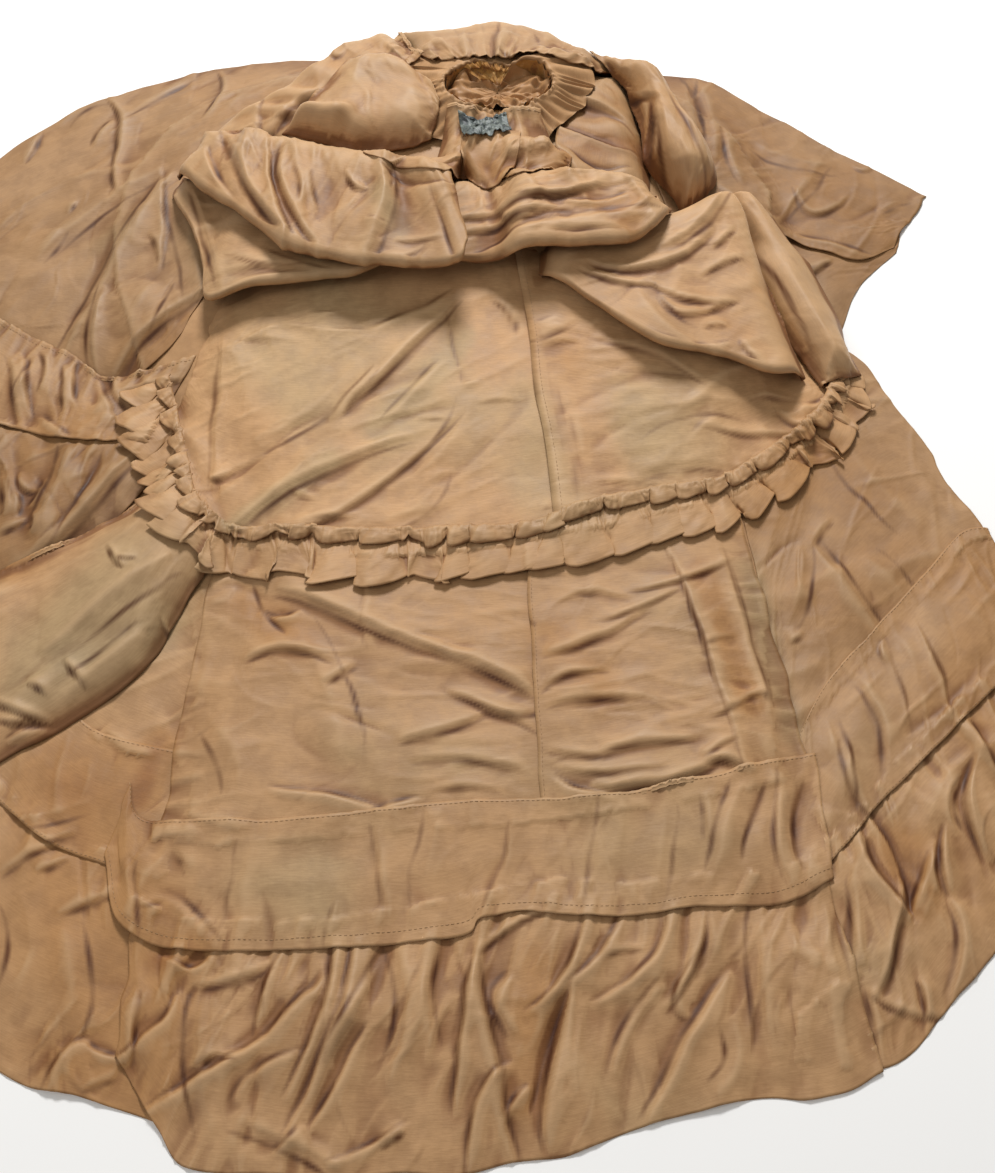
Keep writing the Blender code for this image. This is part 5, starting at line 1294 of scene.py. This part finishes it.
def shot_silk_taffeta():
    """Shot silk taffeta, fawn warp and golden weft: crisp, finely ribbed, with a low dry sheen. Its colour is
    painted paler and greyish on the crests, as wear and as painted highlight, orange-brown and darker in the folds
    as painted shade, and each whole piece lighter or darker as painted light and shade."""
    made, tree, shader = new_material("shot silk taffeta")
    place = add_node(tree, "ShaderNodeTexCoord").outputs["Object"]
    cut = add_node(tree, "ShaderNodeUVMap", {"uv_map": "cut"}).outputs["UV"]
    relief, hollow, tone, fold, piece_painted_light = (
        add_node(tree, "ShaderNodeAttribute", {"attribute_name": key}).outputs["Fac"]
        for key in ("relief", "hollow", "tone", "fold", "piece_painted_light")
    )
    # Large patches, 15 to 25 cm across, where the two yarns show unequally.
    uneven = {"Scale": 5.0, "Detail": 3.0, "Roughness": 0.5, "Distortion": 0.6}
    patches = add_node(tree, "ShaderNodeTexNoise", uneven, {"Vector": place}).outputs["Fac"]
    shares = {"From Min": 0.2, "From Max": 0.8, "To Min": 0.44, "To Max": 0.63}
    patch = add_node(tree, "ShaderNodeMapRange", shares, {"Value": patches})
    hue = add_node(tree, "ShaderNodeMath", {"operation": "MULTIPLY_ADD", 1: 0.8}, {0: tone, 2: patch.outputs[0]})
    colour = ramp(
        tree,
        hue.outputs[0],
        ((0.28, "#9C8B6C"), (0.42, "#B0926A"), (0.53, "#BA9166"), (0.66, "#B08252"), (0.82, "#98673A")),
    )
    spots = {"Scale": 38.0, "Detail": 4.0, "Roughness": 0.6}
    mottle = add_node(tree, "ShaderNodeTexNoise", spots, {"Vector": place}).outputs["Fac"]
    soft = ramp(tree, mottle, ((0.35, "#B9B0A6"), (0.65, "#FFFFFF")))
    colour = mixed(tree, "MULTIPLY", 0.35, colour, soft)
    # Weft threads lie 0.25 mm apart; drawn as streaks of 1.2 mm so that they show.
    streaks_at = add_node(tree, "ShaderNodeMapping", {"Scale": (60.0, 900.0, 1.0)}, {"Vector": cut})
    fine = {"Scale": 1.0, "Detail": 2.0, "Roughness": 0.7}
    streaks = add_node(tree, "ShaderNodeTexNoise", fine, {"Vector": streaks_at.outputs[0]})
    thread = ramp(tree, streaks.outputs["Fac"], ((0.3, "#C9BFB2"), (0.7, "#FFFFFF")))
    colour = mixed(tree, "MULTIPLY", 0.30, colour, thread)
    # Crests are painted paler, as wear and as painted highlight. Troughs, hollows and the feet of sharp folds are
    # painted darker as painted shade.
    for blend, source, low, high, most, wear_and_painted_light_colour in (
        ("MIX", relief, 0.2, 1.0, 0.35, "#C6A47C"),
        ("MULTIPLY", relief, -0.25, -1.0, 0.6, "#A07850"),
        ("MULTIPLY", hollow, 0.1, 1.0, 0.35, "#BC956A"),
        ("MULTIPLY", fold, 0.10, 0.85, 0.9, "#80592F"),
    ):
        span = {"From Min": low, "From Max": high, "To Max": most}
        share = add_node(tree, "ShaderNodeMapRange", span, {"Value": source})
        colour = mixed(tree, blend, share.outputs[0], colour, linear(wear_and_painted_light_colour))
    shader.inputs["Specular IOR Level"].default_value = 0.30
    shader.inputs["Sheen Weight"].default_value = 0.12
    # Painted light and shade: the colour of each whole piece is scaled lighter or darker.
    share = add_node(tree, "ShaderNodeMath", {"operation": "ADD", 1: 1.0}, {0: piece_painted_light})
    piece_lit_colour = add_node(tree, "ShaderNodeVectorMath", {"operation": "SCALE"}, {0: colour, "Scale": share.outputs[0]})
    tree.links.new(piece_lit_colour.outputs[0], shader.inputs["Base Color"])
    span = {"From Min": 0.3, "From Max": 0.7, "To Min": 0.50, "To Max": 0.64}
    dry = add_node(tree, "ShaderNodeMapRange", span, {"Value": mottle})
    tree.links.new(dry.outputs[0], shader.inputs["Roughness"])
    shader.inputs["Sheen Roughness"].default_value = 0.35
    shader.inputs["Sheen Tint"].default_value = linear("#E9D3B0")
    # Ribs of 0.4 mm, drawn at 1 mm, and a crinkle of about 8 mm.
    ribs = {"wave_type": "BANDS", "bands_direction": "Y", "Scale": 310.0, "Distortion": 0.6, "Detail": 1.0}
    rib = add_node(tree, "ShaderNodeTexWave", ribs, {"Vector": cut})
    crinkle_at = add_node(tree, "ShaderNodeMapping", {"Scale": (1.0, 1.7, 1.0)}, {"Vector": place})
    crushed = {"Scale": 120.0, "Detail": 5.0, "Roughness": 0.55, "Distortion": 0.8}
    crinkle = add_node(tree, "ShaderNodeTexNoise", crushed, {"Vector": crinkle_at.outputs[0]})
    weave = add_node(tree, "ShaderNodeBump", {"Strength": 0.10, "Distance": 0.0003}, {"Height": rib.outputs["Fac"]})
    heights = {"Height": crinkle.outputs["Fac"], "Normal": weave.outputs[0]}
    bump = add_node(tree, "ShaderNodeBump", {"Strength": 0.20, "Distance": 0.0010}, heights)
    tree.links.new(bump.outputs[0], shader.inputs["Normal"])
    return made


def petersham_tape():
    """Ribbed cotton petersham of the inner waist tape, brown and rubbed: matt, with a close cross rib."""
    made, tree, shader = new_material("cotton petersham tape")
    cut = add_node(tree, "ShaderNodeUVMap", {"uv_map": "cut"}).outputs["UV"]
    place = add_node(tree, "ShaderNodeTexCoord").outputs["Object"]
    rubbed = {"Scale": 70.0, "Detail": 5.0, "Roughness": 0.65}
    wear = add_node(tree, "ShaderNodeTexNoise", rubbed, {"Vector": place})
    colour = ramp(tree, wear.outputs["Fac"], ((0.30, "#80501F"), (0.50, "#A87634"), (0.70, "#C4975A")))
    tree.links.new(colour, shader.inputs["Base Color"])
    shader.inputs["Roughness"].default_value = 0.85
    shader.inputs["Sheen Weight"].default_value = 0.1
    # Ribs of 0.8 mm, drawn at 1.6 mm.
    ribs = {"wave_type": "BANDS", "bands_direction": "X", "Scale": 195.0, "Distortion": 0.4}
    rib = add_node(tree, "ShaderNodeTexWave", ribs, {"Vector": cut})
    bump = add_node(tree, "ShaderNodeBump", {"Strength": 0.5, "Distance": 0.0005}, {"Height": rib.outputs["Fac"]})
    tree.links.new(bump.outputs[0], shader.inputs["Normal"])
    return made


def glazed_lining():
    """Glazed cotton waist lining, grey-blue and perished: cracked, with pale worn patches."""
    made, tree, shader = new_material("glazed cotton lining")
    place = add_node(tree, "ShaderNodeTexCoord").outputs["Object"]
    cracked = {"Scale": 110.0, "Detail": 6.0, "Roughness": 0.7}
    wear = add_node(tree, "ShaderNodeTexNoise", cracked, {"Vector": place}).outputs["Fac"]
    colour = ramp(tree, wear, ((0.36, "#23282A"), (0.48, "#48504E"), (0.60, "#6B726B"), (0.72, "#8C8068")))
    tree.links.new(colour, shader.inputs["Base Color"])
    shader.inputs["Roughness"].default_value = 0.5
    bump = add_node(tree, "ShaderNodeBump", {"Strength": 0.6, "Distance": 0.0012}, {"Height": wear})
    tree.links.new(bump.outputs[0], shader.inputs["Normal"])
    return made


# Pieces


def tone_of(grid):
    """Where the silk shows more of its golden-brown yarn, above nought, or of its grey-fawn one, below."""
    tone = np.zeros(grid.shape[:2])
    height = float(grid[:, :, 2].mean())
    for x0, y0, x1, y1, width, value in TONES:
        a, b = spot_of(x0, y0, height), spot_of(x1, y1, height)
        along = b - a
        offset = grid[:, :, :2] - a
        t = np.clip(offset @ along / max(along @ along, 1e-9), 0, 1)
        gap = np.linalg.norm(offset - t[..., None] * along, axis=2)
        tone += value * np.exp(-((gap / (width * MM)) ** 2))
    return tone


def relief_of(grid):
    """Crests and hollows of the cloth: over a few millimetres, and over some centimetres."""
    z = grid[:, :, 2]
    small = (z - blur(blur(z, 3), 3)) / 0.0011
    wide = (z - blur(blur(z, 11), 11)) / 0.006
    return {
        "relief": np.clip(0.8 * small + 0.5 * wide, -1, 1),
        "hollow": np.clip(-wide, 0, 1),
        "tone": tone_of(grid),
    }


def lay(name, cols, bands, creasing, ground, silk):
    """Shapes one piece on its solid's form, creases it, and lays it on what is below."""
    kind = KIND.get(name, "loft")
    rng = np.random.default_rng(sum(ord(c) for c in name))
    if kind == "frill":
        grid, ribs = fine_frill(name, ground)
        crease_shade_mask = np.zeros(grid.shape[:2])
    else:
        coarse = shaped(name, cols, bands)
        lift = lift_of(name, coarse)
        if kind != "loft":
            lift = np.repeat(lift[:, :1], lift.shape[1], axis=1)
        width, length = lengths_of(coarse)
        count = (max(24, int(width / PITCH)), max(16, int(length / PITCH)))
        grid = shaped(name, *count, solid=False)
        grid[:, :, 2] += resample(lift, *count) + CLOTH
        coarse[:, :, 2] += lift
        _, most, direction, spread, swell, wavelength = creasing
        rise = undulation(grid.shape[:2], (width, length), wavelength * MM, rng) * swell * MM * 0.5
        rise += crumple(grid, direction, spread, rng) * most * MM * 1.15
        crease_shade_mask = np.zeros(grid.shape[:2])
        main_creases(grid, rise, name, coarse, crease_shade_mask)
        small_creases(grid, rise, creasing, rng, crease_shade_mask)
        for owner, edge, spacing, height, reach, slant in PUCKERS:
            if owner == name:
                add_puckers(grid, rise, edge, spacing, height, reach, slant, rng)
        wander = [undulation(grid.shape[:2], (width, length), WANDER_LENGTH, rng) for _ in range(2)]
        grid[:, :, :2] += np.stack(wander, axis=-1) * EDGE_WANDER
        if name in AT_WAIST:
            draw_to_waist(grid)
        if name in SEWN:
            from_seam = np.linalg.norm(grid - grid[SEWN[name]][None], axis=2)
            rise = rise * (1 - np.exp(-((from_seam / SEAM_FADE) ** 2)))
        if kind == "loft":
            lay_edges_down(grid, ground, name)
            settle(grid, ground)
        grid[:, :, 2] += rise
        if kind != "loft":
            close_ends(grid, ground, name)
            grid = rolled_under(grid, rise, TURN[kind])
    settle(grid, ground, kind in ("wing", "swag"))
    # Painted shade: this mask darkens the colour along the creases' feet.
    crease_shade_mask = np.pad(crease_shade_mask, ((0, 0), (0, grid.shape[1] - crease_shade_mask.shape[1])))
    relief = padded({**relief_of(grid), "fold": crease_shade_mask})
    # Painted light and shade of the whole piece.
    relief["piece_painted_light"] = np.full(relief["relief"].shape, PIECE_PAINTED_LIGHT.get(name, 0.0))
    ground.stamp(grid)
    obj = cloth_object(name + "_cloth", with_lips(grid), relief, silk)
    finished(obj, name)
    if kind == "frill":
        frill_heading(ribs, ground, silk)
    return grid


def oval_ring(sectors):
    """The waistband's oval. Columns as in its table."""
    oval = np.array(WAIST_OVAL, float)
    turn = np.vstack([oval[-1:] - (360, 0, 0), oval, oval[:2] + (360, 0, 0)])
    at = np.linspace(1, len(oval) + 1, sectors + 1)[:-1] / (len(oval) + 2)
    return spline(turn, at)


def draw_to_waist(grid):
    """Draws the pieces around the waist to the rim of the band."""
    offset = grid[:, :, :2] - WAIST_CENTRE
    away = np.linalg.norm(offset, axis=2)
    ring = oval_ring(180)
    turn = np.degrees(np.arctan2(offset[:, :, 1], offset[:, :, 0])) % 360
    gap = away - np.interp(turn, ring[:, 0] % 360, ring[:, 1] * MM, period=360) + 0.005
    pull = np.clip(gap - 0.004, 0, 0.011) * np.clip((0.055 - gap) / 0.03, 0, 1)
    grid[:, :, :2] -= offset / np.maximum(away, 1e-6)[:, :, None] * pull[:, :, None]


def finished(obj, node):
    """The piece's body, and the node that it stands for, if any, which is hidden."""
    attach(obj, "root")
    if node:
        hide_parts(node)


def waist(ground, silk, tape_cloth):
    """The waist: the skirt's gathers come over the band's uneven top and run out to the pieces around it.
    Inside are the band's lining, the crumpled cloth below, and the tape."""
    sectors, pleats = WAIST_SECTORS, WAIST_PLEATS
    ring = oval_ring(sectors)
    angle = np.radians(ring[:, 0])
    out = np.column_stack([np.cos(angle), np.sin(angle)])
    centre = np.array(WAIST_CENTRE)
    rng = np.random.default_rng(17)
    sag = sum(rng.normal(0, 1) / k * np.sin(k * angle + rng.uniform(0, 6)) for k in range(2, 8))
    dent = sum(rng.normal(0, 1) / k * np.sin(k * angle + rng.uniform(0, 6)) for k in range(3, 10))
    ends = np.cumsum(np.concatenate([[0], rng.uniform(0.2, 2.2, pleats)]))
    place = np.linspace(0, ends[-1], sectors + 1)[:-1]
    phase = np.interp(place, ends, np.arange(pleats + 1)) * 2 * math.pi
    full = np.interp(place, ends, np.append(rng.uniform(0.1, 1.5, pleats), 0.6))
    pleat = (0.5 - 0.5 * np.cos(phase)) ** 0.8 * full
    fine = undulation((sectors, 40), (0.4, 0.06), 0.012, rng) * 0.0011
    swings = rng.normal(0, 1, pleats)
    edge = fine[:, 35] + 0.6 * fine[:, 37]
    top = WAIST_FOOT + WAIST_HEIGHT + ring[:, 2] * MM - 0.009 + 0.0048 * sag + 1.5 * edge - 0.0025 * pleat
    rim = ring[:, 1] * MM - 0.005 + 0.0064 * dent + 1.2 * fine[:, 39]
    front, behind = np.clip(-np.sin(angle), 0, 1), np.clip(np.sin(angle), 0, 1)

    def around(radius, height):
        """A round of points at this radius and height, one for each angle."""
        return np.column_stack([centre + out * radius[:, None], height])

    rows = []
    for k, v in enumerate(np.linspace(0.35, 1, 9)):
        radius = rim + 0.0016 * (1 - v) - 0.0012 * pleat * v + fine[:, k]
        rows.append(around(radius, WAIST_FOOT + (top - WAIST_FOOT) * v))
    rows.append(around(rim + 0.0014, top + 0.0012 + 0.0008 * pleat))
    reach = 0.034 + 0.022 * behind**0.5 + 0.012 * np.cos(2 * angle) ** 2 * front
    reach = reach + 0.010 * np.clip(-np.cos(angle), 0, 1) + 0.004 * dent
    foot_at = centre + out * (rim + reach + 0.002)[:, None]
    foot = np.maximum(ground.under(foot_at) + 0.0012, WAIST_FOOT + 0.004 + 0.012 * behind)
    for k, w in enumerate(np.linspace(0.04, 1, 18)):
        swing = 0.05 * w * np.interp(place, ends, np.append(swings, swings[0]))
        radius = rim + 0.002 + reach * w
        fall = (1 - w) ** (1.5 - 0.6 * behind)
        swell = pleat * 0.0046 * (1 - (2 * w - 1) ** 2) ** 0.5 + fine[:, k + 12] * (1 - w)
        turned = np.column_stack([np.cos(angle + swing), np.sin(angle + swing)])
        xy = centre + turned * radius[:, None]
        z = foot + (top - foot) * fall + swell
        rows.append(np.column_stack([xy, np.maximum(z, ground.under(xy) + LAYER_GAP)]))
    grid = np.stack(rows, axis=1)
    flat = np.zeros(grid.shape[:2])
    relief = {"relief": flat, "hollow": flat, "tone": flat + 0.06}
    obj = cloth_object("waistband_cloth", grid, relief, silk, closed=True)
    finished(obj, "waistband")
    ground.stamp(grid[:, 9:])

    # The band's own lining, a brown tape all round inside.
    rows = []
    for v in np.linspace(0.0, 0.93, 10):
        radius = rim - 0.0024 - 0.0012 * pleat * v + 0.0016 * (1 - v)
        rows.append(around(radius, WAIST_FOOT + 0.001 + (top - WAIST_FOOT) * v))
    inner = np.stack(rows, axis=1)
    middle = centre - PLAN_CENTRE[:2]
    flat = {"relief": np.zeros(inner.shape[:2])}
    obj = cloth_object("waistband_lining", inner, flat, tape_cloth, closed=True, outward=middle)
    obj.data.flip_normals()
    finished(obj, None)

    # Crumpled cloth below, seen through the opening.
    spread = np.linspace(0.02, 1, 26)
    crumple = undulation((sectors, 26), (0.36, 0.055), 0.016, rng)
    crumple = crumple * spread[None, :] + crumple.mean(axis=0) * (1 - spread[None, :])
    xy = centre + out[:, None, :] * ((rim - 0.003)[:, None] * spread[None, :])[:, :, None]
    z = WAIST_FOOT + 0.015 + 0.0085 * crumple + 0.004 * spread[None, :] ** 2
    below = np.concatenate([xy, z[:, :, None]], axis=2)
    flat = np.zeros(below.shape[:2])
    # Painted shade: the cloth inside the opening takes a trough's and a hollow's values, so that its colour is
    # painted darker.
    relief = {"relief": flat - 0.2, "hollow": flat + 0.35, "tone": flat + 0.12}
    obj = cloth_object("waist_inside_cloth", below, relief, silk, closed=True)
    finished(obj, None)
    ground.stamp(below)

    # The tape, against the back of the band, its upper edge frayed.
    part = (angle > math.radians(62)) & (angle < math.radians(148))
    rows = []
    fray = 0.0016 * rng.normal(0, 1, part.sum())
    kink = undulation((part.sum(), 24), (0.09, 0.035), 0.012, rng)
    for k, v in enumerate(np.linspace(0, 1, 24)):
        radius = rim[part] - 0.0050 - 0.0030 * np.sin(v * 9) - 0.0026 * kink[:, k] - 0.020 * (1 - v)
        z = WAIST_FOOT + 0.021 + (top[part] - WAIST_FOOT - 0.0185) * v + 0.0012 * kink[:, k] + fray * v**6
        rows.append(np.column_stack([centre + out[part] * radius[:, None], z]))
    tape = np.stack(rows, axis=1)
    flat = {"relief": np.zeros(tape.shape[:2])}
    obj = cloth_object("waist_tape_cloth", tape, flat, tape_cloth, outward=middle)
    obj.data.flip_normals()
    finished(obj, "waist_tape")


def waist_scrap(ground, lining):
    """A torn scrap of the waist's lining, that hangs over the front of the rim."""
    rng = np.random.default_rng(41)
    left, right = spot_of(458, 112, 0.088), spot_of(507, 114, 0.088)
    down = spot_of(463, 141, 0.084) - left
    s, t = np.meshgrid(np.linspace(0, 1, 52), np.linspace(0, 1, 34), indexing="ij")
    torn = undulation(s.shape, (0.05, 0.035), 0.007, rng)
    drop = t + 0.10 * torn * (t + 0.3) + 0.12 * np.sin(s * 5)
    xy = left + s[..., None] * (right - left) + drop[..., None] * down
    grid = np.concatenate([xy, np.zeros((*s.shape, 1))], axis=2)
    below = ground.under(grid)
    rise = 0.0016 + 0.0024 * np.abs(torn)
    add_crease(grid, rise, (xy[6, 4], xy[20, 16], xy[34, 30]), 0.0022, 0.0030, 0.5)
    add_crease(grid, rise, (xy[30, 2], xy[38, 14], xy[44, 30]), 0.0020, 0.0028, -0.5)
    grid[:, :, 2] = np.maximum(below, blur(blur(below, 3), 3)) + rise
    ground.stamp(grid)
    obj = cloth_object("waist_scrap_cloth", with_lips(grid, 0.0008), {"relief": np.zeros((56, 38))}, lining)
    finished(obj, "waist_hook_scrap")


def lay_loop(name, arch, ground, silk):
    """A small loop of the knot: pressed cloth with a few sharp folds."""
    rng = np.random.default_rng(sum(ord(c) for c in name))
    grid = loft(RIBS[name], 64, 44, arch * MM)
    width, length = lengths_of(grid)
    rise = undulation(grid.shape[:2], (width, length), 0.03, rng) * 0.0022
    for _ in range(9):
        i, j = rng.integers(8, 56), rng.integers(6, 38)
        angle = math.radians(rng.normal(70, 30))
        run = np.array((math.cos(angle), math.sin(angle))) * rng.uniform(0.012, 0.030)
        place = grid[i, j, :2]
        line = (place - run, place + rng.normal(0, 0.002, 2), place + run)
        add_crease(grid, rise, line, 0.0028, rng.uniform(0.001, 0.0034), rng.uniform(-1, 1))
    grid[:, :, 2] += rise
    away = away_from_edges(grid)
    below = ground.under(grid) + LAYER_GAP
    grid[:, :, 2] -= np.clip(grid[:, :, 2] - below, 0, None) * np.exp(-((away / 0.008) ** 2)) * 0.9
    settle(grid, ground)
    relief = padded(relief_of(grid))
    ground.stamp(grid)
    obj = cloth_object(name, with_lips(grid), relief, silk)
    finished(obj, None)


def sewing_thread():
    """Silk sewing thread, a shade darker than the cloth and slightly glossy."""
    made, tree, shader = new_material("silk sewing thread")
    place = add_node(tree, "ShaderNodeTexCoord").outputs["Object"]
    wear = add_node(tree, "ShaderNodeTexNoise", {"Scale": 60.0, "Detail": 3.0}, {"Vector": place})
    colour = ramp(tree, wear.outputs["Fac"], ((0.3, "#94704A"), (0.7, "#B08C62")))
    tree.links.new(colour, shader.inputs["Base Color"])
    shader.inputs["Roughness"].default_value = 0.45
    return made


def stitch_tree(thread):
    """Stitches along a curve. Inputs: spacing, length and thickness in metres, and a seed."""
    tree = bpy.data.node_groups.new("stitches", "GeometryNodeTree")
    face = tree.interface
    face.new_socket("Geometry", in_out="INPUT", socket_type="NodeSocketGeometry")
    for name in ("Spacing", "Length", "Thickness"):
        face.new_socket(name, in_out="INPUT", socket_type="NodeSocketFloat")
    face.new_socket("Seed", in_out="INPUT", socket_type="NodeSocketInt")
    face.new_socket("Geometry", in_out="OUTPUT", socket_type="NodeSocketGeometry")
    given = add_node(tree, "NodeGroupInput").outputs
    path = {"Curve": given["Geometry"], "Length": given["Spacing"]}
    run = add_node(tree, "GeometryNodeCurveToPoints", {"mode": "LENGTH"}, path).outputs
    sides = {"X": given["Thickness"], "Y": given["Thickness"], "Z": given["Length"]}
    size = add_node(tree, "ShaderNodeCombineXYZ", {}, sides).outputs[0]
    share = {"data_type": "FLOAT", "Min": 0.8, "Max": 1.15}
    uneven = add_node(tree, "FunctionNodeRandomValue", share, {"Seed": given["Seed"]}).outputs[1]
    scaled = add_node(tree, "ShaderNodeVectorMath", {"operation": "SCALE"}, {0: size, "Scale": uneven}).outputs[0]
    bead = add_node(tree, "GeometryNodeMeshUVSphere", {"Segments": 6, "Rings": 4, "Radius": 0.5}).outputs["Mesh"]
    sewn = {"Points": run["Points"], "Instance": bead, "Rotation": run["Rotation"], "Scale": scaled}
    laid = add_node(tree, "GeometryNodeInstanceOnPoints", {}, sewn)
    real = add_node(tree, "GeometryNodeRealizeInstances", {}, {"Geometry": laid.outputs["Instances"]})
    dyed = add_node(tree, "GeometryNodeSetMaterial", {"Material": thread}, {"Geometry": real.outputs["Geometry"]})
    add_node(tree, "NodeGroupOutput", {}, {"Geometry": dyed.outputs["Geometry"]})
    return tree


def stitch(name, line, tree, seed):
    """Sews along a line of points of the plan: a curve, the stitches' tree on it, and the mesh it makes."""
    points = np.asarray(line) - PLAN_CENTRE
    data = bpy.data.curves.new(name + "_line", "CURVE")
    data.dimensions = "3D"
    thread = data.splines.new("POLY")
    thread.points.add(len(points) - 1)
    thread.points.foreach_set("co", np.column_stack([points, np.ones(len(points))]).astype(np.float32).ravel())
    path = put(name + "_line", data)
    sewn = path.modifiers.new("stitches", "NODES")
    sewn.node_group = tree
    sizes = {**STITCH_SIZES, "Seed": seed}
    for item in tree.interface.items_tree:
        if item.in_out == "INPUT" and item.name in sizes:
            sewn[item.identifier] = sizes[item.name]
    graph = bpy.context.evaluated_depsgraph_get()
    mesh = bpy.data.meshes.new_from_object(path.evaluated_get(graph))
    bpy.data.objects.remove(path)
    mesh.shade_smooth()
    finished(put(name, mesh), None)


def hidden_cloth(silk):
    """The layers hidden inside: their one rounded solid, merged and smoothed."""
    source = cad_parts["hidden_layers"]
    mesh = source.data.copy()
    made = bmesh.new()
    made.from_mesh(mesh)
    bmesh.ops.remove_doubles(made, verts=made.verts, dist=0.0002)
    bmesh.ops.subdivide_edges(made, edges=made.edges, cuts=1, use_grid_fill=True)
    axes = {"use_axis_x": True, "use_axis_y": True, "use_axis_z": True}
    for _ in range(4):
        bmesh.ops.smooth_vert(made, verts=made.verts, factor=0.5, **axes)
    bmesh.ops.recalc_face_normals(made, faces=made.faces)
    made.to_mesh(mesh)
    made.free()
    for key in ("relief", "hollow", "tone"):
        mesh.attributes.new(key, "FLOAT", "POINT")
    if "cut" not in mesh.uv_layers:
        mesh.uv_layers.new(name="cut")
    mesh.materials.clear()
    mesh.materials.append(silk)
    mesh.shade_smooth()
    obj = put("hidden_layers_cloth", mesh)
    finished(obj, "hidden_layers")


def scene_stage():
    """Pale floor, soft light from above and behind, and the camera at the photograph's angle."""
    floor_mesh = bpy.data.meshes.new("floor")
    floor_mesh.from_pydata([(-6, -6, 0), (6, -6, 0), (6, 6, 0), (-6, 6, 0)], [], [(0, 1, 2, 3)])
    paper, _, shader = new_material("white paper sweep")
    shader.inputs["Base Color"].default_value = linear("#F6F5F3")
    shader.inputs["Roughness"].default_value = 0.9
    floor_mesh.materials.append(paper)
    put("floor", floor_mesh)
    world = bpy.data.worlds.new("studio")
    world.use_nodes = True
    light = world.node_tree.nodes["Background"].inputs
    light["Color"].default_value = (1.0, 0.985, 0.96, 1)
    light["Strength"].default_value = WORLD_STRENGTH
    bpy.context.scene.world = world
    bpy.context.scene.view_settings.view_transform = "Standard"
    for n, (place, size, power) in enumerate(LAMPS):
        data = bpy.data.lights.new(f"softbox_{n}", "AREA")
        data.shape = "SQUARE"
        data.size = size
        data.energy = power
        lamp = put(f"softbox_{n}", data)
        lamp.location = place
        x, y, z = place
        lamp.rotation_euler = (math.atan2(math.hypot(x, y), z), 0.0, math.atan2(x, -y))
    data = bpy.data.cameras.new("camera")
    data.lens = LENS_MM
    data.sensor_width = SENSOR_MM
    data.clip_end = 20
    camera = put("camera", data)
    camera.location = CAMERA - PLAN_CENTRE
    camera.rotation_euler = (CAMERA_TILT, 0, 0)
    bpy.context.scene.camera = camera


def main():
    scene_stage()
    silk = shot_silk_taffeta()
    tape_cloth = petersham_tape()
    lining = glazed_lining()
    ground = Ground()
    ground.stamp_solid(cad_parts["hidden_layers"].data)
    laid = {}
    for name, cols, bands, *creasing in PIECES:
        if name == "swag_under_left":
            waist(ground, silk, tape_cloth)
        laid[name] = lay(name, cols, bands, creasing, ground, silk)
        if name == "knot":
            for loop, arch in LOOPS:
                lay_loop(loop, arch, ground, silk)
            waist_scrap(ground, lining)
    hidden_cloth(silk)
    tree = stitch_tree(sewing_thread())
    for n, (name, edge, inset) in enumerate(SEAMS):
        grid = laid[name]
        step = round(inset * MM / PITCH)
        line = {"back": grid[:, step], "front": grid[:, -1 - step], "start": grid[step]}[edge]
        stitch(f"stitches_{name}_{edge}", line + np.array((0, 0, STITCH_RISE)), tree, n)


main()
